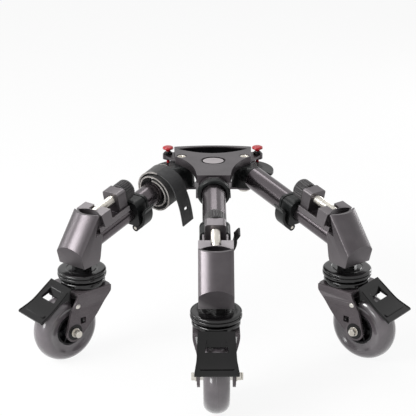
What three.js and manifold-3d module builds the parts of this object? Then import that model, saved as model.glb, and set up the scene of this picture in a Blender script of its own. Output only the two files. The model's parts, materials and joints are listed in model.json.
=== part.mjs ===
// Tripod dolly: a small cast hub with a carry handle, one fixed leg and two folding legs.
// Each leg telescopes, clamps one foot of a tripod and rolls on a swivel caster with a brake.
// Millimetres, +Z up, the fixed leg points to -Y, the origin is on the floor under the box centre.

import * as THREE from 'three';
import { mergeVertices } from 'three/addons/utils/BufferGeometryUtils.js';
import Module from 'manifold-3d';

const wasm = await Module();
wasm.setup();

// Gaps
const clearance = 0.3;
const overrun = 4;

// Wheels
const wheelDiameter = 75;
const tyreWidth = 27;
const tyreBoreShare = 7 / 15;
const tyreCrownDepth = 11;
const coreWidth = 24;
const coreHubDiameter = 17;
const coreWebThickness = 8;
const coreRimWall = 2.8;

// Caster fork, axle and swivel head
const axleDiameter = 8;
const axleHeadDiameter = 14.5;
const axleHeadThickness = 5.5;
const axleThreadStickOut = 2;
const casterTrail = 25;
const casterTurn = THREE.MathUtils.degToRad(12.5);
const forkPlate = 3;
const forkGap = 33;
const forkEndRadius = 11;
const forkCrownRise = 8.3;
const forkRearReach = 21;
const forkFrontReach = 22;
const forkWaistDrop = 19.3;
const forkWindowSize = 7;
const upperRaceDiameter = 53;
const upperRaceThickness = 9;
const lowerRaceDiameter = 50;
const lowerRaceThickness = 7.4;
const raceEdge = 1.4;
const kingpinDiameter = 10;
const kingpinHeadDiameter = 17;
const kingpinHeadThickness = 3.8;
const studNutDiameter = 22;
const studNutThickness = 7.2;
const studLength = 3.2;

// Brake pedal
const pedalPlate = 2;
const pedalHingeForward = 20.7;
const pedalHingeDrop = 15.8;
const pedalHingeDiameter = 5;
const pedalRivetDiameter = 9;
const pedalRivetThickness = 1.8;
const pedalStartGap = 5.6;
const pedalStartRise = 5.9;
const pedalRun = 25.4;
const pedalBendDrop = 13.3;
const pedalLipRun = 16.5;
const pedalLipDrop = 20.8;
const pedalRootWidth = 38;
const pedalBendWidth = 40;
const pedalLipWidth = 45;
const pedalWindowInset = 6.4;
const pedalWindowLength = 12;
const pedalWindowRootWidth = 19;
const pedalWindowEndWidth = 24;
const pedalEarThickness = 1.9;
const pedalEarRadius = 5.4;
const brakeTabWidth = 20;
const brakeTabLean = 1.3;
const brakeTabRise = 0.6;

// Foot block
const blockSideWall = 7.5;
const blockHeight = 53.5;
const blockToe = 15;
const blockBelly = 21;
const blockBellyRise = 22.5;
const blockCrown = -3;
const blockWallTop = 8;
const blockBulge = 5;
const blockChamfer = 3;
const blockFloorOuter = -4;
const blockFloorRise = 15;
const blockInnerEnd = -16;
const blockHeel = -9;
const blockHeelRise = 5;
const seatHollowDepth = 4.5;
const seatHollowWidth = 30;

// Legs
const legSlope = THREE.MathUtils.degToRad(12);
const legSpread = THREE.MathUtils.degToRad(37.5);
const tubeRiseInBlock = 15.5;
const outerTubeLength = 66.529814;
const outerTubeWall = 1.7;
const tubePlay = 0.8;
const innerTubeSize = 21;
const innerTubeWall = 1.6;
const innerTubeEndGap = 0.529814;
const innerTubeFootEnd = 8;
const tubeFlatHalfAngle = THREE.MathUtils.degToRad(14);

// Clamp collar and cam lever
const collarSideWall = 3.5;
const collarTopWall = 2;
const collarLength = 20;
const collarStep = 3.4;
const collarGap = 7.4;
const collarCornerShare = 0.5;
const leverClock = THREE.MathUtils.degToRad(-75);
const leverEnd = THREE.MathUtils.degToRad(8);
const leverTipEnd = THREE.MathUtils.degToRad(16);
const leverPinDiameter = 4;
const leverPinOut = 8.5;
const leverHeadRadius = 4;
const leverWidth = 14;
const leverLugWidth = 7;
const leverGap = 0.7;
const leverThickness = 3.2;
const leverTipFlare = 3.6;

// Tripod-foot clamp
const clampAxisRise = 14.7;
const screwDiameter = 10;
const saddleSideWall = 3;
const saddlePlate = 2.5;
const saddleLip = 3.6;
const saddleLipWall = 2;
const saddleGap = 4;
const saddleLength = 51;
const bracketThickness = 13;
const bracketWidth = 22;
const bracketTopRise = 9.5;
const bracketChamfer = 3;
const knobDiameter = 23;
const knobLength = 15.5;
const knobTeeth = 12;
const knobToothDepth = 0.7;
const knobBoreDepth = 12;
const jawSetback = 2;
const jawOuterDraft = 3;
const jawLength = 15;
const jawTopRise = 5.3;
const jawFootWidth = 22;
const jawHollowDepth = 5;
const jawHollowWidth = 30;
const jawNotchDepth = 9;

// Hub
const hubRise = 18.290045;
const hubPlate = 2.4;
const hubSkirt = 9;
const hubSkirtWall = 2.4;
const pivotSpacing = 73;
const hubRear = 37;
const hubRearBow = 2.5;
const hubCornerOut = 9;
const hubCornerY = 33;
const hubWingOut = 7.5;
const hubWingY = -2;
const hubNoseWall = 2;
const hubNoseInset = 2;
const hubNoseControlOut = 2;
const hubNoseControlY = -22;
const hubBevel = 1.6;
const handleEndOut = 4.5;
const handleRear = 33.5;
const handleFront = 9.5;
const handleEndY = 25;
const pivotBossDiameter = 15;
const pivotPinDiameter = 8;
const pivotHeadDiameter = 10.8;
const pivotHeadThickness = 2.4;
const pivotNutDiameter = 13;
const pivotNutThickness = 4;
const socketSetback = 68;
const socketDepth = 18;
const socketWall = 4;
const socketRingWall = 5.5;
const socketRingLength = 7;
const centrePostDiameter = 16;
const centrePostY = -24;
const basePlate = 2.5;
const basePlateDrop = 17.409955;
const basePlateHalfWidth = 20;
const basePlateFront = -38;
const basePlateRear = 13;
const basePlateLobeDiameter = 25;

// Knuckles and their lock pins
const knuckleWall = 2;
const knuckleShoulder = 18;
const knucklePlugLength = 11;
const knucklePlugPlay = 0.7;
const quadrantRadius = 34;
const quadrantPlate = 3;
const quadrantRise = 1.590045;
const quadrantStart = THREE.MathUtils.degToRad(24);
const quadrantEnd = THREE.MathUtils.degToRad(142);
const lockOut = 16.1;
const lockY = 24.5;
const lockLugDiameter = 12.5;
const lockLugDrop = 5.9;
const lockLugHeight = 5.6;
const lockSleeveDiameter = 7;
const lockSleeveRise = 3.7;
const lockPinDiameter = 3.8;
const lockStemDiameter = 4.6;
const lockCapDiameter = 13;
const lockCapHeight = 3.6;
const lockCapLift = 2.2;

// Strap round the left leg
const strapThickness = 2.2;
const strapWidth = 20;
const strapSlack = 0.9;
const strapGrowth = 5.2;
const strapTurns = 2.25;
const strapTail = 38;
const strapPlace = 43.5;
const strapDrop = 0.3;

// Sums of the sizes above: the casters from the floor up
const wheelRadius = wheelDiameter / 2;
const tyreBoreDiameter = wheelDiameter * tyreBoreShare;
const forkHeight = wheelDiameter + forkCrownRise;
const forkWaistHeight = forkHeight - forkWaistDrop;
const forkOuter = forkGap / 2 + forkPlate;
const pedalStartForward = forkFrontReach + pedalStartGap;
const pedalBendForward = pedalStartForward + pedalRun;
const pedalLipForward = pedalBendForward + pedalLipRun;
const pedalWindowStart = pedalStartForward + pedalWindowInset;
const pedalWindowEnd = pedalWindowStart + pedalWindowLength;
const brakeTabForward = pedalWindowStart + brakeTabLean;
const pedalHingeHeight = forkHeight - pedalHingeDrop;
const pedalStartHeight = forkHeight + pedalStartRise;
const pedalBendHeight = forkHeight - pedalBendDrop;
const pedalLipHeight = forkHeight - pedalLipDrop;
const brakeTabHeight = wheelDiameter + brakeTabRise;
const upperRaceBottom = forkHeight + lowerRaceThickness + clearance;
const upperRaceTop = upperRaceBottom + upperRaceThickness;
const studNutTop = upperRaceTop + studNutThickness;

// The legs: heights at the foot, then places along the tube from the swivel axis to the hub
const outerTubeSize = innerTubeSize + 2 * (outerTubeWall + tubePlay);
const blockWidth = innerTubeSize + 2 * blockSideWall;
const blockBottom = studNutTop + clearance;
const blockTop = blockBottom + blockHeight;
const blockBellyHeight = blockBottom + blockBellyRise;
const tubeHeightAtFoot = blockBottom + tubeRiseInBlock;
const blockFloorHeight = tubeHeightAtFoot + blockFloorRise;
const saddleWidth = innerTubeSize + 2 * saddleSideWall;
const seatHeight = innerTubeSize / 2 + clearance + saddlePlate;
const clampAxisHeight = seatHeight + clampAxisRise;
const saddleFootEnd = blockInnerEnd - saddleGap;
const bracketInner = saddleFootEnd - saddleLength;
const jawOuter = saddleFootEnd - jawSetback;
const jawInner = jawOuter - jawLength;
const collarWidth = outerTubeSize + 2 * collarSideWall;
const collarHeight = outerTubeSize + 2 * collarTopWall;
const leverPinOffset = outerTubeSize / 2 + leverPinOut;
const strapInnerRadius = outerTubeSize / 2 + strapSlack;
const collarEnd = bracketInner - collarGap;
const outerTubeFootEnd = collarEnd - collarLength + collarStep;
const outerTubeHubEnd = outerTubeFootEnd - outerTubeLength;
const tubeHubEnd = outerTubeHubEnd - knuckleShoulder / Math.cos(legSlope);
const innerTubeHubEnd = outerTubeHubEnd + knucklePlugLength + innerTubeEndGap;
const legReach = -tubeHubEnd * Math.cos(legSlope);

// The hub, with heights from the axes of the tubes where they meet it
const socketHeight = tubeHeightAtFoot + legReach * Math.tan(legSlope);
const socketDiameter = outerTubeSize + 2 * socketWall;
const socketRingDiameter = outerTubeSize + 2 * socketRingWall;
const knuckleDiameter = outerTubeSize + 2 * knuckleWall;
const knucklePlugDiameter = outerTubeSize - 2 * (outerTubeWall + knucklePlugPlay);
const hubTop = socketHeight + hubRise;
const hubUnderside = hubTop - hubSkirt;
const basePlateTop = socketHeight - basePlateDrop;
const quadrantTop = socketHeight + quadrantRise;
const hubCornerX = pivotSpacing / 2 + hubCornerOut;
const hubWingX = pivotSpacing / 2 + hubWingOut;
const hubNoseX = socketDiameter / 2 + hubNoseWall;
const hubNoseY = hubNoseInset - socketSetback;
const hubNoseControlX = hubNoseX + hubNoseControlOut;
const handleHalfLength = pivotSpacing / 2 + handleEndOut;
const lockX = pivotSpacing / 2 + lockOut;
const lockLugTop = hubTop - lockLugDrop;
const lockLugBottom = lockLugTop - lockLugHeight;
const lockSleeveTop = lockLugTop + lockSleeveRise;

const finishes = {
  satin: new THREE.MeshStandardMaterial({ color: 0x7b7179, roughness: 0.42, metalness: 0.75 }),
  blackPlastic: new THREE.MeshStandardMaterial({ color: 0x141416, roughness: 0.5, metalness: 0 }),
  blackSteel: new THREE.MeshStandardMaterial({ color: 0x0e0e10, roughness: 0.22, metalness: 0.4 }),
  zinc: new THREE.MeshStandardMaterial({ color: 0xe8e0cc, roughness: 0.32, metalness: 0.9 }),
  smokeTyre: new THREE.MeshStandardMaterial({ color: 0x3a393c, roughness: 0.3, metalness: 0 }),
  red: new THREE.MeshStandardMaterial({ color: 0xc8232d, roughness: 0.4, metalness: 0 }),
  webbing: new THREE.MeshStandardMaterial({ color: 0x101012, roughness: 0.9, metalness: 0 }),
};

// Helpers that turn three.js shapes into closed solids and back

function toSolid(geometry) {
  const bare = geometry.clone();
  bare.deleteAttribute('normal');
  bare.deleteAttribute('uv');
  const merged = mergeVertices(bare, clearance / 1000);
  const mesh = new wasm.Mesh({
    numProp: 3,
    vertProperties: new Float32Array(merged.attributes.position.array),
    triVerts: new Uint32Array(merged.index.array),
  });
  return new wasm.Manifold(mesh);
}

function toGeometry(body) {
  const mesh = body.getMesh();
  const geometry = new THREE.BufferGeometry();
  geometry.setAttribute('position', new THREE.BufferAttribute(new Float32Array(mesh.vertProperties), 3));
  geometry.setIndex(new THREE.BufferAttribute(new Uint32Array(mesh.triVerts), 1));
  geometry.computeVertexNormals();
  return geometry;
}

// Maps an extrusion's own axes onto the three axes given
function turned(geometry, first, second, third) {
  return geometry.applyMatrix4(new THREE.Matrix4().makeBasis(first, second, third));
}

const axisX = new THREE.Vector3(1, 0, 0);
const axisY = new THREE.Vector3(0, 1, 0);
const axisZ = new THREE.Vector3(0, 0, 1);
const minusY = new THREE.Vector3(0, -1, 0);

function extruded(shape, depth, curveSegments = 8) {
  return new THREE.ExtrudeGeometry(shape, { depth, bevelEnabled: false, curveSegments });
}

// A plan outline in x and y, from one height to another
function plate(shape, bottom, top, curveSegments) {
  return toSolid(extruded(shape, top - bottom, curveSegments).translate(0, 0, bottom));
}

// A side outline in x and z, given a width along y
function sideProfile(shape, width, centre = 0, curveSegments = 8) {
  const geometry = turned(extruded(shape, width, curveSegments), axisX, axisZ, minusY);
  return toSolid(geometry.translate(0, centre + width / 2, 0));
}

// A cross-section in y and z, run along x
function alongX(shape, from, to, curveSegments) {
  const geometry = turned(extruded(shape, to - from, curveSegments), axisY, axisZ, axisX);
  return toSolid(geometry.translate(from, 0, 0));
}

function block(x0, x1, y0, y1, z0, z1) {
  const geometry = new THREE.BoxGeometry(x1 - x0, y1 - y0, z1 - z0);
  return toSolid(geometry.translate((x0 + x1) / 2, (y0 + y1) / 2, (z0 + z1) / 2));
}

// A cylinder about one axis, from one place to another along it
function rod(axis, diameter, from, to, sides = 14) {
  const geometry = new THREE.CylinderGeometry(diameter / 2, diameter / 2, to - from, sides);
  geometry.translate(0, (from + to) / 2, 0);
  if (axis === 'x') turned(geometry, axisZ, axisX, axisY);
  if (axis === 'z') turned(geometry, axisX, axisZ, minusY);
  return toSolid(geometry);
}

// A profile of radius and height pairs, turned about z
function revolved(profile, segments = 20) {
  const points = profile.map(([radius, height]) => new THREE.Vector2(radius, height));
  const area = THREE.ShapeUtils.area(points);
  if (area < 0) points.reverse();
  const closed = points[0].x > 0 || points[points.length - 1].x > 0;
  if (closed) points.push(points[0].clone());
  const geometry = new THREE.LatheGeometry(points, segments);
  return toSolid(turned(geometry, axisX, axisZ, minusY));
}

function polygon(points) {
  return new THREE.Shape(points.map(([x, y]) => new THREE.Vector2(x, y)));
}

// The rounded octagon of the leg tubes, measured across its flats
function tubeSection(acrossFlats, half = tubeFlatHalfAngle) {
  const radius = acrossFlats / 2 / Math.cos(half);
  const points = [];
  for (let flat = 0; flat < 8; flat += 1) {
    const middle = (flat * Math.PI) / 4;
    points.push([radius * Math.cos(middle - half), radius * Math.sin(middle - half)]);
    points.push([radius * Math.cos(middle + half), radius * Math.sin(middle + half)]);
  }
  return polygon(points);
}

function placed(body, x, y, z) {
  return body.translate([x, y, z]);
}

function mesh(name, body, finish) {
  const part = new THREE.Mesh(toGeometry(body), finishes[finish]);
  part.name = name;
  return part;
}

// Caster pieces: x is the way the wheel trails, the swivel axis is x = 0

function makeTyre() {
  const mid = wheelRadius - tyreCrownDepth;
  const side = coreWidth / 2;
  const profile = [[tyreBoreDiameter / 2, -side]];
  const steps = 6;
  for (let step = 0; step <= steps; step += 1) {
    const angle = -Math.PI / 2 + (step * Math.PI) / steps;
    profile.push([mid + tyreCrownDepth * Math.cos(angle), (tyreWidth / 2) * Math.sin(angle)]);
  }
  profile.push([tyreBoreDiameter / 2, side]);
  return onAxle(revolved(profile, 26));
}

function makeWheelCore() {
  const bore = axleDiameter / 2 + clearance;
  const outer = tyreBoreDiameter / 2 - clearance;
  const rim = outer - coreRimWall;
  const hub = coreHubDiameter / 2;
  const half = coreWidth / 2;
  const web = coreWebThickness / 2;
  const profile = [
    [bore, -half], [hub, -half], [hub, -web], [rim, -web], [rim, -half], [outer, -half],
    [outer, half], [rim, half], [rim, web], [hub, web], [hub, half], [bore, half],
  ];
  return onAxle(revolved(profile, 18));
}

// Lays a wheel made about z onto the axle
function onAxle(body) {
  return placed(body.rotate([90, 0, 0]), casterTrail, 0, wheelRadius);
}

function makeAxleBolt() {
  const seat = forkOuter + clearance;
  const threadEnd = seat + axleHeadThickness + axleThreadStickOut;
  const shank = rod('y', axleDiameter, -seat - axleHeadThickness / 2, threadEnd);
  const head = rod('y', axleHeadDiameter, -seat - axleHeadThickness, -seat, 6);
  const nut = rod('y', axleHeadDiameter, seat, seat + axleHeadThickness, 6);
  return placed(shank.add(head).add(nut), casterTrail, 0, wheelRadius);
}

function forkCheek() {
  const shape = new THREE.Shape();
  const end = forkEndRadius;
  const from = THREE.MathUtils.degToRad(205);
  const to = THREE.MathUtils.degToRad(350);
  shape.moveTo(-forkRearReach, forkHeight);
  shape.lineTo(-forkRearReach, forkWaistHeight + end);
  shape.quadraticCurveTo(
    -forkRearReach / 2, forkWaistHeight - end,
    casterTrail + end * Math.cos(from), wheelRadius + end * Math.sin(from),
  );
  shape.absarc(casterTrail, wheelRadius, end, from, to, false);
  shape.quadraticCurveTo(
    casterTrail + end / 2, forkWaistHeight - end / 2,
    forkFrontReach + end / 2, forkWaistHeight,
  );
  shape.lineTo(forkFrontReach, forkHeight - forkPlate);
  shape.lineTo(forkFrontReach, forkHeight);
  return shape;
}

function makeFork() {
  const raceTop = forkHeight + lowerRaceThickness;
  const raceRadius = lowerRaceDiameter / 2;
  const race = revolved([
    [0, forkHeight - forkPlate / 2], [raceRadius - raceEdge, forkHeight - forkPlate / 2],
    [raceRadius, forkHeight], [raceRadius, raceTop - raceEdge], [raceRadius - raceEdge, raceTop],
    [0, raceTop],
  ], 20);
  const crownBottom = forkHeight - forkPlate;
  const crown = block(-forkRearReach, forkFrontReach, -forkOuter, forkOuter, crownBottom, forkHeight);
  let body = race.add(crown);
  for (const side of [-1, 1]) {
    body = body.add(sideProfile(forkCheek(), forkPlate, side * (forkOuter - forkPlate / 2), 5));
  }
  const reach = forkOuter + overrun;
  const bore = rod('y', axleDiameter + 2 * clearance, -reach, reach);
  const axleHole = placed(bore, casterTrail, 0, wheelRadius);
  const hinge = rod('y', pedalHingeDiameter + 2 * clearance, -reach, reach, 14);
  const kingpin = rod('z', kingpinDiameter + 2 * clearance, crownBottom - overrun, raceTop + overrun);
  const half = forkWindowSize / 2;
  const windowX = casterTrail - forkEndRadius;
  const windowZ = wheelRadius + forkEndRadius;
  const window = block(windowX - half, windowX + half, -reach, reach, windowZ - half, windowZ + half);
  body = body.subtract(axleHole).subtract(placed(hinge, pedalHingeForward, 0, pedalHingeHeight));
  return body.subtract(kingpin).subtract(window);
}

function makeCasterPlate() {
  const radius = upperRaceDiameter / 2;
  const headTop = forkHeight - forkPlate - clearance;
  const disc = revolved([
    [0, headTop - kingpinHeadThickness], [kingpinHeadDiameter / 2, headTop - kingpinHeadThickness],
    [kingpinHeadDiameter / 2, headTop], [kingpinDiameter / 2, headTop],
    [kingpinDiameter / 2, upperRaceBottom], [radius, upperRaceBottom], [radius, upperRaceTop - raceEdge],
    [radius - raceEdge, upperRaceTop], [0, upperRaceTop],
  ], 20);
  const nut = rod('z', studNutDiameter, upperRaceTop - raceEdge, studNutTop, 6);
  const stud = rod('z', kingpinDiameter, studNutTop - raceEdge, studNutTop + studLength);
  return disc.add(nut).add(stud);
}

function makeBrakePedal() {
  const along = new THREE.Vector2(pedalBendForward - pedalStartForward, pedalBendHeight - pedalStartHeight);
  const drop = along.clone().normalize().multiplyScalar(pedalPlate);
  const down = new THREE.Vector2(drop.y, -drop.x);
  const profile = polygon([
    [pedalStartForward, pedalStartHeight],
    [pedalStartForward + down.x, pedalStartHeight + down.y],
    [pedalBendForward + down.x, pedalBendHeight + down.y],
    [pedalLipForward + down.x / 2, pedalLipHeight + down.y],
    [pedalLipForward, pedalLipHeight],
    [pedalBendForward, pedalBendHeight],
  ].reverse());
  const plan = polygon([
    [pedalStartForward - overrun, -pedalRootWidth / 2], [pedalBendForward, -pedalBendWidth / 2],
    [pedalLipForward, -pedalLipWidth / 2], [pedalLipForward, pedalLipWidth / 2],
    [pedalBendForward, pedalBendWidth / 2], [pedalStartForward - overrun, pedalRootWidth / 2],
  ]);
  const window = polygon([
    [pedalWindowStart, -pedalWindowRootWidth / 2], [pedalWindowEnd, -pedalWindowEndWidth / 2],
    [pedalWindowEnd, pedalWindowEndWidth / 2], [pedalWindowStart, pedalWindowRootWidth / 2],
  ]);
  const high = pedalStartHeight + overrun;
  const trimmed = sideProfile(profile, pedalLipWidth + overrun).intersect(plate(plan, 0, high));

  // The tab bent down from the inner edge of the window is what presses on the tread
  const fall = (pedalStartHeight - pedalBendHeight) / (pedalBendForward - pedalStartForward);
  const plateHeight = (forward) => pedalStartHeight - fall * (forward - pedalStartForward);
  const tabRoot = pedalWindowStart - pedalPlate;
  const tab = polygon([
    [tabRoot, plateHeight(tabRoot)],
    [brakeTabForward, brakeTabHeight],
    [brakeTabForward + pedalPlate, brakeTabHeight + pedalPlate / 4],
    [pedalWindowStart, plateHeight(pedalWindowStart)],
  ]);
  const pad = sideProfile(tab, brakeTabWidth);
  let body = trimmed.subtract(plate(window, pedalBendHeight, high)).add(pad);

  const earOuter = forkGap / 2 - clearance;
  const earMiddle = earOuter - pedalEarThickness / 2;
  const crownFront = forkFrontReach + raceEdge * 3;
  const earTop = pedalStartForward + pedalPlate;
  const ear = polygon([
    [pedalHingeForward, pedalHingeHeight - pedalEarRadius],
    [pedalHingeForward + pedalEarRadius, pedalHingeHeight - pedalEarRadius / 2],
    [pedalWindowEnd, plateHeight(pedalWindowEnd) - pedalPlate],
    [earTop, plateHeight(earTop) - pedalPlate],
    [crownFront, plateHeight(earTop) - pedalPlate],
    [crownFront, forkHeight - forkPlate * 2],
    [pedalHingeForward - pedalEarRadius / 2, pedalHingeHeight + pedalEarRadius],
    [pedalHingeForward - pedalEarRadius, pedalHingeHeight],
  ]);
  const rivetSeat = forkOuter + clearance;
  for (const side of [-1, 1]) {
    const inner = side > 0 ? earMiddle : -rivetSeat - pedalRivetThickness / 2;
    const outer = side > 0 ? rivetSeat + pedalRivetThickness / 2 : -earMiddle;
    const pin = rod('y', pedalHingeDiameter, inner, outer, 14);
    const headFrom = side > 0 ? rivetSeat : -rivetSeat - pedalRivetThickness;
    const head = rod('y', pedalRivetDiameter, headFrom, headFrom + pedalRivetThickness, 14);
    body = body.add(sideProfile(ear, pedalEarThickness, side * earMiddle));
    body = body.add(placed(pin.add(head), pedalHingeForward, 0, pedalHingeHeight));
  }
  return body;
}

// Foot block: x is outward from the swivel axis, cast solid round the end of the inner tube

function makeFootBlock() {
  const lean = (blockBelly - blockCrown) / (blockTop - blockBellyHeight);
  const toeLean = (blockBelly - blockToe) / (blockBellyHeight - blockBottom);
  const wallInner = blockCrown - blockWallTop;
  const floorRise = (blockFloorOuter - blockInnerEnd) * Math.tan(legSlope);
  const side = polygon([
    [blockToe, blockBottom],
    [blockToe + toeLean * (blockTop - blockBottom), blockTop],
    [wallInner, blockTop],
    [blockFloorOuter, blockFloorHeight],
    [blockInnerEnd, blockFloorHeight + floorRise],
    [blockInnerEnd + blockHeelRise, blockBottom + blockHeelRise],
    [blockHeel, blockBottom],
  ]);

  // The outer face is a shallow barrel that leans inward as it rises
  const half = blockWidth / 2;
  const plan = new THREE.Shape();
  plan.moveTo(blockInnerEnd - overrun, -half);
  plan.lineTo(blockBelly - blockBulge - blockChamfer, -half);
  plan.lineTo(blockBelly - blockBulge, -half + blockChamfer);
  plan.quadraticCurveTo(blockBelly + blockBulge, 0, blockBelly - blockBulge, half - blockChamfer);
  plan.lineTo(blockBelly - blockBulge - blockChamfer, half);
  plan.lineTo(blockInnerEnd - overrun, half);
  const height = blockTop - blockBottom + overrun;
  const barrel = extruded(plan, height, 8);
  const shear = new THREE.Matrix4().makeShear(0, 0, 0, 0, -lean, 0);
  barrel.applyMatrix4(shear);
  barrel.translate(lean * (blockBellyHeight - blockBottom), 0, blockBottom);
  const leanBack = lean * (blockTop - blockBottom);
  const inboard = block(
    blockInnerEnd - leanBack, blockCrown, -half, half, blockBottom - overrun, blockTop + overrun,
  );
  let body = sideProfile(side, blockWidth + overrun).intersect(toSolid(barrel).add(inboard));

  const hollowRadius = ((seatHollowWidth / 2) ** 2 + seatHollowDepth ** 2) / (2 * seatHollowDepth);
  const hollow = rod('z', hollowRadius * 2, blockFloorHeight, blockTop + overrun, 32);
  body = body.subtract(placed(hollow, wallInner + seatHollowDepth - hollowRadius, 0, 0));

  const section = tubeSection(innerTubeSize + 2 * clearance);
  const bore = alongX(section, -legReach / 2, innerTubeFootEnd + clearance);
  const slope = THREE.MathUtils.radToDeg(legSlope);
  body = body.subtract(placed(bore.rotate([0, slope, 0]), 0, 0, tubeHeightAtFoot));
  const studTop = studNutTop + studLength + clearance;
  return body.subtract(rod('z', kingpinDiameter + 2 * clearance, blockBottom - overrun, studTop));
}

// Leg pieces: x runs outward and down along the tube, z is square to it

function makeOuterTube(hubEnd) {
  const hollow = tubeSection(outerTubeSize - 2 * outerTubeWall);
  const section = tubeSection(outerTubeSize);
  section.holes.push(hollow);
  return alongX(section, hubEnd, outerTubeFootEnd);
}

function makeInnerTube() {
  const section = tubeSection(innerTubeSize);
  section.holes.push(tubeSection(innerTubeSize - 2 * innerTubeWall));
  return alongX(section, innerTubeHubEnd, innerTubeFootEnd);
}

const leverMiddle = collarEnd - collarLength / 2;
const leverPinY = leverPinOffset * Math.cos(leverClock);
const leverPinZ = leverPinOffset * Math.sin(leverClock);

function makeClampCollar(side) {
  const halfWidth = collarWidth / 2;
  const halfHeight = collarHeight / 2;
  const cornerY = halfWidth * (1 - collarCornerShare);
  const cornerZ = halfHeight * (1 - collarCornerShare);
  const outline = new THREE.Shape();
  outline.moveTo(cornerY, -halfHeight);
  outline.quadraticCurveTo(halfWidth, -halfHeight, halfWidth, -cornerZ);
  outline.lineTo(halfWidth, cornerZ);
  outline.quadraticCurveTo(halfWidth, halfHeight, cornerY, halfHeight);
  outline.lineTo(-cornerY, halfHeight);
  outline.quadraticCurveTo(-halfWidth, halfHeight, -halfWidth, cornerZ);
  outline.lineTo(-halfWidth, -cornerZ);
  outline.quadraticCurveTo(-halfWidth, -halfHeight, -cornerY, -halfHeight);
  const from = collarEnd - collarLength;
  const lugHalf = leverLugWidth / 2;
  const eye = rod('x', 2 * leverHeadRadius, leverMiddle - lugHalf, leverMiddle + lugHalf);
  const neck = block(
    leverMiddle - lugHalf, leverMiddle + lugHalf,
    leverPinY - leverHeadRadius, leverPinY + leverHeadRadius, leverPinZ, -collarHeight / 4,
  );
  const lug = placed(eye, 0, leverPinY, leverPinZ).add(neck).subtract(leverPinHole());
  const outerBore = tubeSection(outerTubeSize + 2 * clearance);
  const innerBore = tubeSection(innerTubeSize + 2 * clearance);
  let body = alongX(outline, from, collarEnd, 3).add(lug);
  body = body.subtract(alongX(outerBore, from - overrun, outerTubeFootEnd + clearance));
  body = body.subtract(alongX(innerBore, from, collarEnd + overrun));
  return handed(body, side);
}

function leverPinHole() {
  const reach = leverWidth / 2 + overrun;
  const hole = rod('x', leverPinDiameter + 2 * clearance, leverMiddle - reach, leverMiddle + reach, 12);
  return placed(hole, 0, leverPinY, leverPinZ);
}

// Pieces are made for a lever at the +y side of the tube and mirrored for the other side
function handed(body, side) {
  return side > 0 ? body : body.mirror([0, 1, 0]);
}

// The lever lies round the flank of the collar, from its pin below to a flared tip above
function makeCamLever(side) {
  const inner = Math.hypot(leverPinY, leverPinZ) - leverHeadRadius / 2 + leverGap;
  const outer = inner + leverThickness;
  const tip = outer + leverTipFlare;
  const outline = new THREE.Shape();
  outline.absarc(0, 0, inner, leverClock, leverEnd, false);
  for (const radius of [tip - leverThickness, tip]) {
    outline.lineTo(radius * Math.cos(leverTipEnd), radius * Math.sin(leverTipEnd));
  }
  outline.absarc(0, 0, outer, leverEnd, leverClock, true);
  const half = leverWidth / 2;
  const eye = rod('x', 2 * leverHeadRadius, leverMiddle - half, leverMiddle + half);
  const slotHalf = leverLugWidth / 2 + clearance;
  const slotEnd = leverPinY + leverHeadRadius + 2 * clearance;
  const slot = block(leverMiddle - slotHalf, leverMiddle + slotHalf, -slotEnd, slotEnd, -collarWidth, 0);
  const band = alongX(outline, leverMiddle - half, leverMiddle + half, 14);
  const body = band.add(placed(eye, 0, leverPinY, leverPinZ));
  return handed(body.subtract(slot).subtract(leverPinHole()), side);
}

function makeLeverPin(side) {
  const half = leverWidth / 2;
  const pin = rod('x', leverPinDiameter, leverMiddle - half, leverMiddle + half, 12);
  return handed(placed(pin, 0, leverPinY, leverPinZ), side);
}

function makeMountBracket() {
  const under = innerTubeSize / 2 + clearance;
  const half = saddleWidth / 2;
  let body = block(bracketInner, saddleFootEnd, -half, half, under, seatHeight);
  for (const side of [-1, 1]) {
    const edges = [side * half, side * (half - saddleLipWall)].sort((a, b) => a - b);
    body = body.add(block(bracketInner, saddleFootEnd, ...edges, under, seatHeight + saddleLip));
  }
  const top = clampAxisHeight + bracketTopRise;
  const head = bracketWidth / 2;
  const upright = polygon([
    [-head, under], [head, under], [head, top - bracketChamfer],
    [head - bracketChamfer, top], [bracketChamfer - head, top], [-head, top - bracketChamfer],
  ]);
  body = body.add(alongX(upright, bracketInner, bracketInner + bracketThickness));
  const bore = rod('x', screwDiameter + 2 * clearance, bracketInner - overrun, jawInner, 16);
  return body.subtract(placed(bore, 0, 0, clampAxisHeight));
}

function makeMovingJaw() {
  const top = clampAxisHeight + jawTopRise;
  const bottom = seatHeight + clearance;
  const neck = seatHeight + saddleLip + clearance;
  const side = polygon([
    [jawInner, bottom], [jawOuter - jawOuterDraft, bottom], [jawOuter, top], [jawInner, top],
  ]);
  const half = blockWidth / 2;
  const foot = jawFootWidth / 2;
  const front = polygon([
    [-foot, bottom], [foot, bottom], [foot, neck], [half, neck],
    [half, top], [-half, top], [-half, neck], [-foot, neck],
  ]);
  const face = alongX(front, jawInner - overrun, jawOuter + overrun);
  let body = sideProfile(side, blockWidth).intersect(face);
  const radius = ((jawHollowWidth / 2) ** 2 + jawHollowDepth ** 2) / (2 * jawHollowDepth);
  const hollow = rod('z', radius * 2, bottom - overrun, top + overrun, 32);
  body = body.subtract(placed(hollow, jawOuter - jawHollowDepth + radius, 0, 0));
  const reach = screwDiameter / 2 + clearance;
  const notchEnd = jawInner + jawNotchDepth;
  const notch = rod('x', reach * 2, jawInner - overrun, notchEnd, 16);
  const mouth = block(jawInner - overrun, notchEnd, -reach, reach, 0, top);
  return body.subtract(placed(notch.add(mouth), 0, 0, clampAxisHeight));
}

const knobFace = bracketInner - clearance;

function makeClampScrew() {
  const from = knobFace - knobBoreDepth + clearance;
  const to = jawInner + jawNotchDepth - clearance;
  return placed(rod('x', screwDiameter, from, to, 14), 0, 0, clampAxisHeight);
}

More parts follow.
